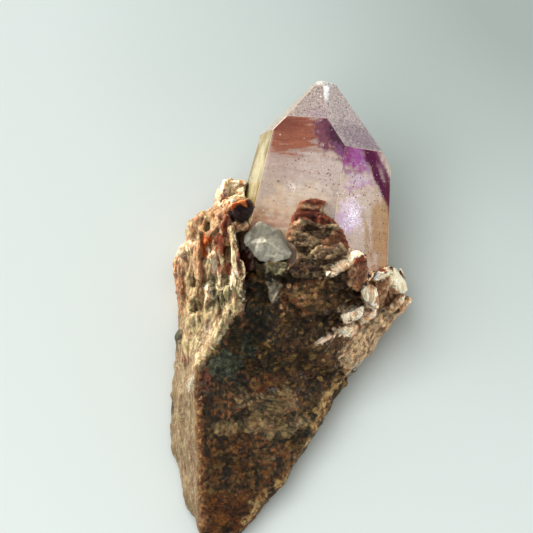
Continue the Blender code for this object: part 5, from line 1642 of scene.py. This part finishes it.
    def broken(self, mesh: bpy.types.Mesh) -> None:
        """Moves the surface to the steps that the rock broke along.

        Args:
            mesh: The fused mesh, changed in place.
        """
        points, normals = mesh_arrays(mesh)
        places = SPECIMEN.places(points)
        lift = self.cleavage(places)
        lift += self.fine_relief * Grains.around(places, self.fine_mm, 7).tilted(9)
        lift += self.crumb_relief * soft_noise(places, 0.5, 2.0)
        for ledge in LEDGES:
            if ledge.ground in SMOOTH_GROUNDS:
                lift *= 1.0 - 0.6 * smooth_step(ledge.depth_inside(places), -0.1, 0.3)
        left = smooth_step(self.is_left(places), -0.2, 0.5)
        lift = lift * (1.0 - left) + self.flutes(places) * left
        grown = AmethystCrystal().growth(places)
        clear = smooth_step(np.hypot(grown[:, 0], grown[:, 1]), 10.5, 12.5)
        clear = np.maximum(clear, smooth_step(-grown[:, 2], 15.5, 17.5))
        footing = smooth_step(points[:, 2] / MM, 0.15, 0.9)
        open_face = smooth_step(self.gap_to_quartz(places), 0.3, 1.4)
        lift = lift * open_face - 0.12 * (1.0 - open_face)
        moved = points + normals * (lift * (0.35 + 0.65 * clear) * footing)[:, None] * MM
        moved[:, 2] = np.maximum(moved[:, 2], 0.0)
        set_points(mesh, moved)
        mesh.update()

    def prominence(self, mesh: bpy.types.Mesh, rounds: int) -> np.ndarray:
        """How far each point stands out of the surface round it, in millimetres.

        Args:
            mesh: The rock's mesh.
            rounds: How many times the surface is smoothed to compare with.

        Returns:
            A height for each point, negative in a crack.
        """
        points, normals = mesh_arrays(mesh)
        smooth = points
        for _ in range(rounds):
            smooth = neighbour_mean(mesh, smooth)
        return ((points - smooth) * normals).sum(axis=1) / MM

    def ground(self, places: np.ndarray, normals: np.ndarray) -> np.ndarray:
        """The colour of the rock's grains.

        Args:
            places: The surface's points in specimen millimetres.
            normals: Their directions in the specimen's frame.

        Returns:
            A row of red, green and blue for each point.
        """
        left = self.is_left(places) > 0
        shares = []
        for size, seed in zip(self.tint_grains_mm, (31, 37)):
            stretch = np.where(left[:, None], np.array([[0.6, 2.2, 0.6]]), 1.0)
            grains = Grains.around(places / stretch, (size,) * 3, seed)
            middles = places - grains.offset * size * stretch * 0.7
            chance = grains.random(seed + 1)
            shares.append(self.tints(middles, normals, chance))
        mottle = soft_noise(places, self.mottle_mm, 6.0)
        mottle = smooth_step(mottle, -0.2, 0.5)[:, None] * 0.8 + 0.1
        return shares[0] * mottle + shares[1] * (1.0 - mottle)

    def drawn_out(self, places: np.ndarray) -> np.ndarray:
        """Places for the finish's patterns, so that its grains lie along the rock's fabric.

        Args:
            places: The surface's points in specimen millimetres.

        Returns:
            The same places, drawn together along the grains' long direction.
        """
        sway = soft_noise(places, self.fabric_mm, 61.0)
        left = self.is_left(places) > 0
        turn = np.radians(np.where(left, self.left_turn_deg, self.front_turn_deg)) + sway * 0.9
        across = np.cos(turn) * places[:, 0] + np.sin(turn) * places[:, 1]
        along = -np.sin(turn) * places[:, 0] + np.cos(turn) * places[:, 1]
        share = np.where(left, 0.34 + 0.3 * smooth_step(-places[:, 1], 4.0, 12.0), 0.5)
        return np.column_stack([across, along * share, places[:, 2] * 0.8])

    def tints(self, places: np.ndarray, normals: np.ndarray, chance: np.ndarray) -> np.ndarray:
        """The tint of each grain from the patches and seams that it lies in.

        Args:
            places: The middles of the grains, one for each point.
            normals: The surface's directions at the points.
            chance: Three random numbers for each point's grain.

        Returns:
            A row of red, green and blue for each point.
        """
        wander = (chance[:, 1] - 0.5) * 1.0
        left = self.is_left(places) > 0
        upper = places[:, 1] > -2.0 + wander
        # The front starts in its dark palette, which holds painted shade as well as the rock's own
        # colour.
        colour = Mineral.FRONT_DARK_SHADED.tint(chance[:, 0])
        for ground, here in ((Mineral.WALL, left & upper), (Mineral.WALL_LOW, left & ~upper)):
            colour[here] = ground.tint(chance[here, 0])
        for zone in GROUNDS:
            here = zone.depth_inside(places) > wander * min(1.0, zone.narrow())
            if zone.ground.name.startswith("FRONT"):
                here &= ~left
            if zone.ground is Mineral.RIM:
                here &= normals[:, 2] > self.rim_facing
            colour[here] = zone.ground.tint(chance[here, 0])
        for ledge in LEDGES:
            here = ledge.depth_inside(places) > -0.12 + 0.2 * wander
            colour[here] = ledge.ground.tint(chance[here, 0])
        behind = normals[:, 2] < -0.15 + 0.3 * (chance[:, 2] - 0.5)
        colour[behind] = Mineral.BACK.tint(chance[behind, 0])
        return colour

    def stained(self, colour: np.ndarray, near: np.ndarray, wide: np.ndarray) -> np.ndarray:
        """Darkens the cracks with iron stain and painted shade, and lightens the worn edges with a
        painted highlight.

        Args:
            colour: The grains' colours.
            near: How far each point stands out of the surface close by.
            wide: How far it stands out of the surface further round.

        Returns:
            The stained colours.
        """
        # Cracks take iron stain and painted shade; ridges take worn edges and a painted highlight.
        low = smooth_step(-near, 0.0, 0.09) * 0.5 + smooth_step(-wide, 0.0, 0.3) * 0.6
        high = smooth_step(near, 0.02, 0.1) * 0.6 + smooth_step(wide, 0.05, 0.35) * 0.5
        low, high = (np.clip(share, 0.0, 1.0)[:, None] for share in (low, high))
        dark = colour * np.array(self.stain)
        pale = np.minimum(colour * 1.45 + 0.012, 0.92)
        out = colour * (1.0 - low) + dark * low
        return out * (1.0 - high) + pale * high

    def build(self) -> None:
        """Builds and dresses the rock."""
        mesh = self.flaked()
        points, normals = mesh_arrays(mesh)
        places = SPECIMEN.places(points)
        write_attribute(mesh, "place", self.drawn_out(places))
        self.broken(mesh)
        colour = self.ground(places, SPECIMEN.directions(normals))
        calm = 1.0 - 0.4 * smooth_step(self.is_left(places), -0.2, 0.5)
        near, wide = (self.prominence(mesh, rounds) * calm for rounds in (3, 14))
        colour = self.stained(colour, near, wide)
        # Surfaces that face away from the front are made darker.
        front = smooth_step(SPECIMEN.directions(normals)[:, 2], -0.35, 0.25)[:, None]
        colour = colour * (np.array(self.away_facing_darkening) * (1.0 - front) + front)
        write_attribute(mesh, "ground", colour)
        finish_mesh(mesh, self.sharp_deg, FeldsparFinish().build())
        add_piece("feldspar_rock", mesh, "feldspar_rock", "matrix")


@dataclass
class SmallQuartz:
    """A small quartz body grown beside the large crystal."""

    node: str
    slot: str
    finish: QuartzFinish
    tints: str
    edge_mm: float = 0.35
    relief_mm: float = 0.22
    chip_mm: float = 1.9
    rib_relief_mm: float = 0.05
    rib_mm: float = 0.7
    bevel_mm: float = 0.06
    sharp_deg: float = 30.0
    turn_deg: float = 0.0

    def build(self) -> None:
        """Builds and dresses the body."""
        bm = carried_mesh(self.node)
        bmesh.ops.bevel(
            bm, geom=bm.edges[:] + bm.verts[:], offset=self.bevel_mm * MM, segments=1,
            affect="EDGES",
        )
        bmesh.ops.triangulate(bm, faces=bm.faces)
        cut_long_edges(bm, 8, lambda edge: edge.calc_length() > self.edge_mm * MM)
        mesh = mesh_of(bm, self.node + "_skin")
        points, normals = mesh_arrays(mesh)
        places = SPECIMEN.places(points)
        turn = np.array(Matrix.Rotation(math.radians(self.turn_deg), 3, "Z"))
        ribbed = places @ turn
        stripes = soft_noise(ribbed * np.array([1.0, 0.12, 0.3]), self.rib_mm, 4.0)
        chips = Grains.around(places, (self.chip_mm,) * 3, 8).tilted(12)
        lift = stripes * self.rib_relief_mm + (chips * 0.8 - 0.3) * self.relief_mm
        moved = points + normals * lift[:, None] * MM
        set_points(mesh, moved)
        write_attribute(mesh, "growth", ribbed[:, [1, 2, 0]])
        chance = Grains.around(ribbed, (0.7, 2.2, 0.9), 5).random(3)[:, 0]
        write_attribute(mesh, "haze", picked_tints(self.tints, chance))
        finish_mesh(mesh, self.sharp_deg, self.finish.build())
        add_piece(self.node + "_crystal", mesh, self.slot, self.node)


@dataclass(frozen=True)
class PaperFinish:
    """Matt grey-green studio paper, evenly coated. The eye sees a smooth pale ground."""

    name: str = "matt_studio_paper"
    pale: str = "eef3ee"
    light: str = "e6ede9"
    middle: str = "d2dbd7"
    dark: str = "b4bdb8"

    def build(self) -> bpy.types.Material:
        """Makes the material.

        Returns:
            The paper, a little darker where the back light falls off.
        """
        made, tree = new_material(self.name)
        place = add_node(tree, "TexCoord")
        away = add_node(tree, "VectorMath", {0: place.outputs["Object"], 1: (0.05, 0.074, 0.0)},
            operation="DISTANCE")
        shade = add_node(tree, "ValToRGB", {"Fac": away.outputs["Value"]}, stops=[(0.0, self.dark),
            (0.02, self.dark), (0.052, self.middle), (0.092, self.light), (0.14, self.pale)])
        shader = add_node(tree, "BsdfPrincipled", {"Base Color": shade, "Roughness": 0.9,
            "Specular IOR Level": 0.2})
        add_node(tree, "OutputMaterial", {"Surface": shader})
        return made


def own_collection(name: str) -> object:
    """A dataclass field that makes its own collection, for lights that light only some things."""
    return field(default_factory=lambda: new_collection(name))


@dataclass
class Studio:
    """The floor, the lights and the camera."""

    floor_size: float = 3.0
    aim: tuple[float, float, float] = (-5.583, 6.583, 0.0)
    distance: float = 650.0
    view_mm: float = 88.83
    sensor_mm: float = 36.0
    light_aim: tuple[float, float, float] = (0.0, 0.0, 0.015)
    sky_code: str = "e9efec"
    sky_strength: float = 0.42
    pale: bpy.types.Collection = own_collection("pale_things")
    specimen: bpy.types.Collection = own_collection("specimen")
    rock: bpy.types.Collection = own_collection("rock_only")
    crystals: bpy.types.Collection = own_collection("crystals_only")

    def floor(self) -> None:
        """Lays the floor."""
        bm = bmesh.new()
        bmesh.ops.create_grid(bm, x_segments=8, y_segments=8, size=self.floor_size / 2)
        mesh = mesh_of(bm, "studio_floor")
        mesh.materials.append(PaperFinish().build())
        floor = bpy.data.objects.new("studio_floor", mesh)
        self.pale.objects.link(floor)

    def light(
        self,
        name: str,
        place: Vector,
        size: float,
        power: float,
        code: str,
        only: bpy.types.Collection | None = None,
    ) -> bpy.types.Object:
        """Adds a square soft light that points at the specimen's middle.

        Args:
            name: The light's name.
            place: Where it stands, in metres.
            size: Its side in metres.
            power: Its power in watts.
            code: Its colour.
            only: What it lights, or nothing for all.

        Returns:
            The light.
        """
        lamp = bpy.data.lights.new(name, "AREA")
        lamp.size = size
        lamp.energy = power
        lamp.color = linear(code)
        made = bpy.data.objects.new(name, lamp)
        made.location = place
        aim = Vector(self.light_aim) - place
        made.rotation_euler = aim.to_track_quat("-Z", "Y").to_euler()
        bpy.context.scene.collection.objects.link(made)
        if only is not None:
            made.light_linking.receiver_collection = only
        return made

    def lights(self) -> None:
        """Sets the soft light all round, the boxes overhead and at the side, and the low key."""
        world = bpy.data.worlds.new("studio_fill")
        world.use_nodes = True
        sky = world.node_tree.nodes["Background"].inputs
        sky["Color"].default_value = opaque(self.sky_code)
        sky["Strength"].default_value = self.sky_strength
        bpy.context.scene.world = world
        for name, place, size, power, code, only in (
            ("overhead_box", (-0.25, -0.15, 0.9), 0.8, 2.2, "fbfdff", None),
            ("pale_wash", (-0.3, -0.2, 0.9), 0.9, 5.4, "fbfdff", self.pale),
            ("side_box", (0.5, 0.02, 0.24), 0.36, 3.0, "fdfdff", self.specimen),
            ("key_box", (-0.42, 0.37, 0.175), 0.09, 8.4, "fff8ec", self.rock),
            ("crystal_key_box", (-0.42, 0.37, 0.175), 0.09, 6.6, "fff8ec", self.crystals),
        ):
            made = self.light(name, Vector(place), size, power, code, only)
            if only is self.rock:
                made.light_linking.blocker_collection = only

    def camera(self) -> None:
        """Puts the camera straight over the specimen's face."""
        data = bpy.data.cameras.new("camera")
        data.sensor_width = self.sensor_mm
        data.lens = self.sensor_mm * self.distance / self.view_mm
        data.clip_start = 0.01
        data.clip_end = 20.0
        camera = bpy.data.objects.new("camera", data)
        seat = SPECIMEN.to_row @ Vector((self.aim[0], self.aim[1], self.aim[2] + self.distance))
        turn = Matrix.Rotation(math.radians(SPECIMEN.recline_deg), 4, "X")
        camera.matrix_world = Matrix.Translation(seat) @ turn
        bpy.context.scene.collection.objects.link(camera)
        bpy.context.scene.camera = camera

    def build(self) -> None:
        """Builds the studio."""
        self.floor()
        self.lights()
        self.camera()
        bpy.context.scene.view_settings.view_transform = "Standard"


def main() -> None:
    """Builds the specimen and its studio, in order."""
    logging.basicConfig(level=logging.INFO, format="%(message)s")
    Studio().build()
    FeldsparRock().build()
    AmethystCrystal().build()
    SmallQuartz(
        "quartz_foot", "milky_quartz", MILKY_QUARTZ,
        "a49f8c:4 8a8473:3 b8b4a2:3 969080:3", turn_deg=-20.0,
    ).build()
    SmallQuartz(
        "quartz_side", "yellow_quartz", YELLOW_QUARTZ,
        "ece2c4:5 f4eeda:4 d8c89c:1", turn_deg=30.0,
    ).build()


if __name__ == "__main__":
    main()
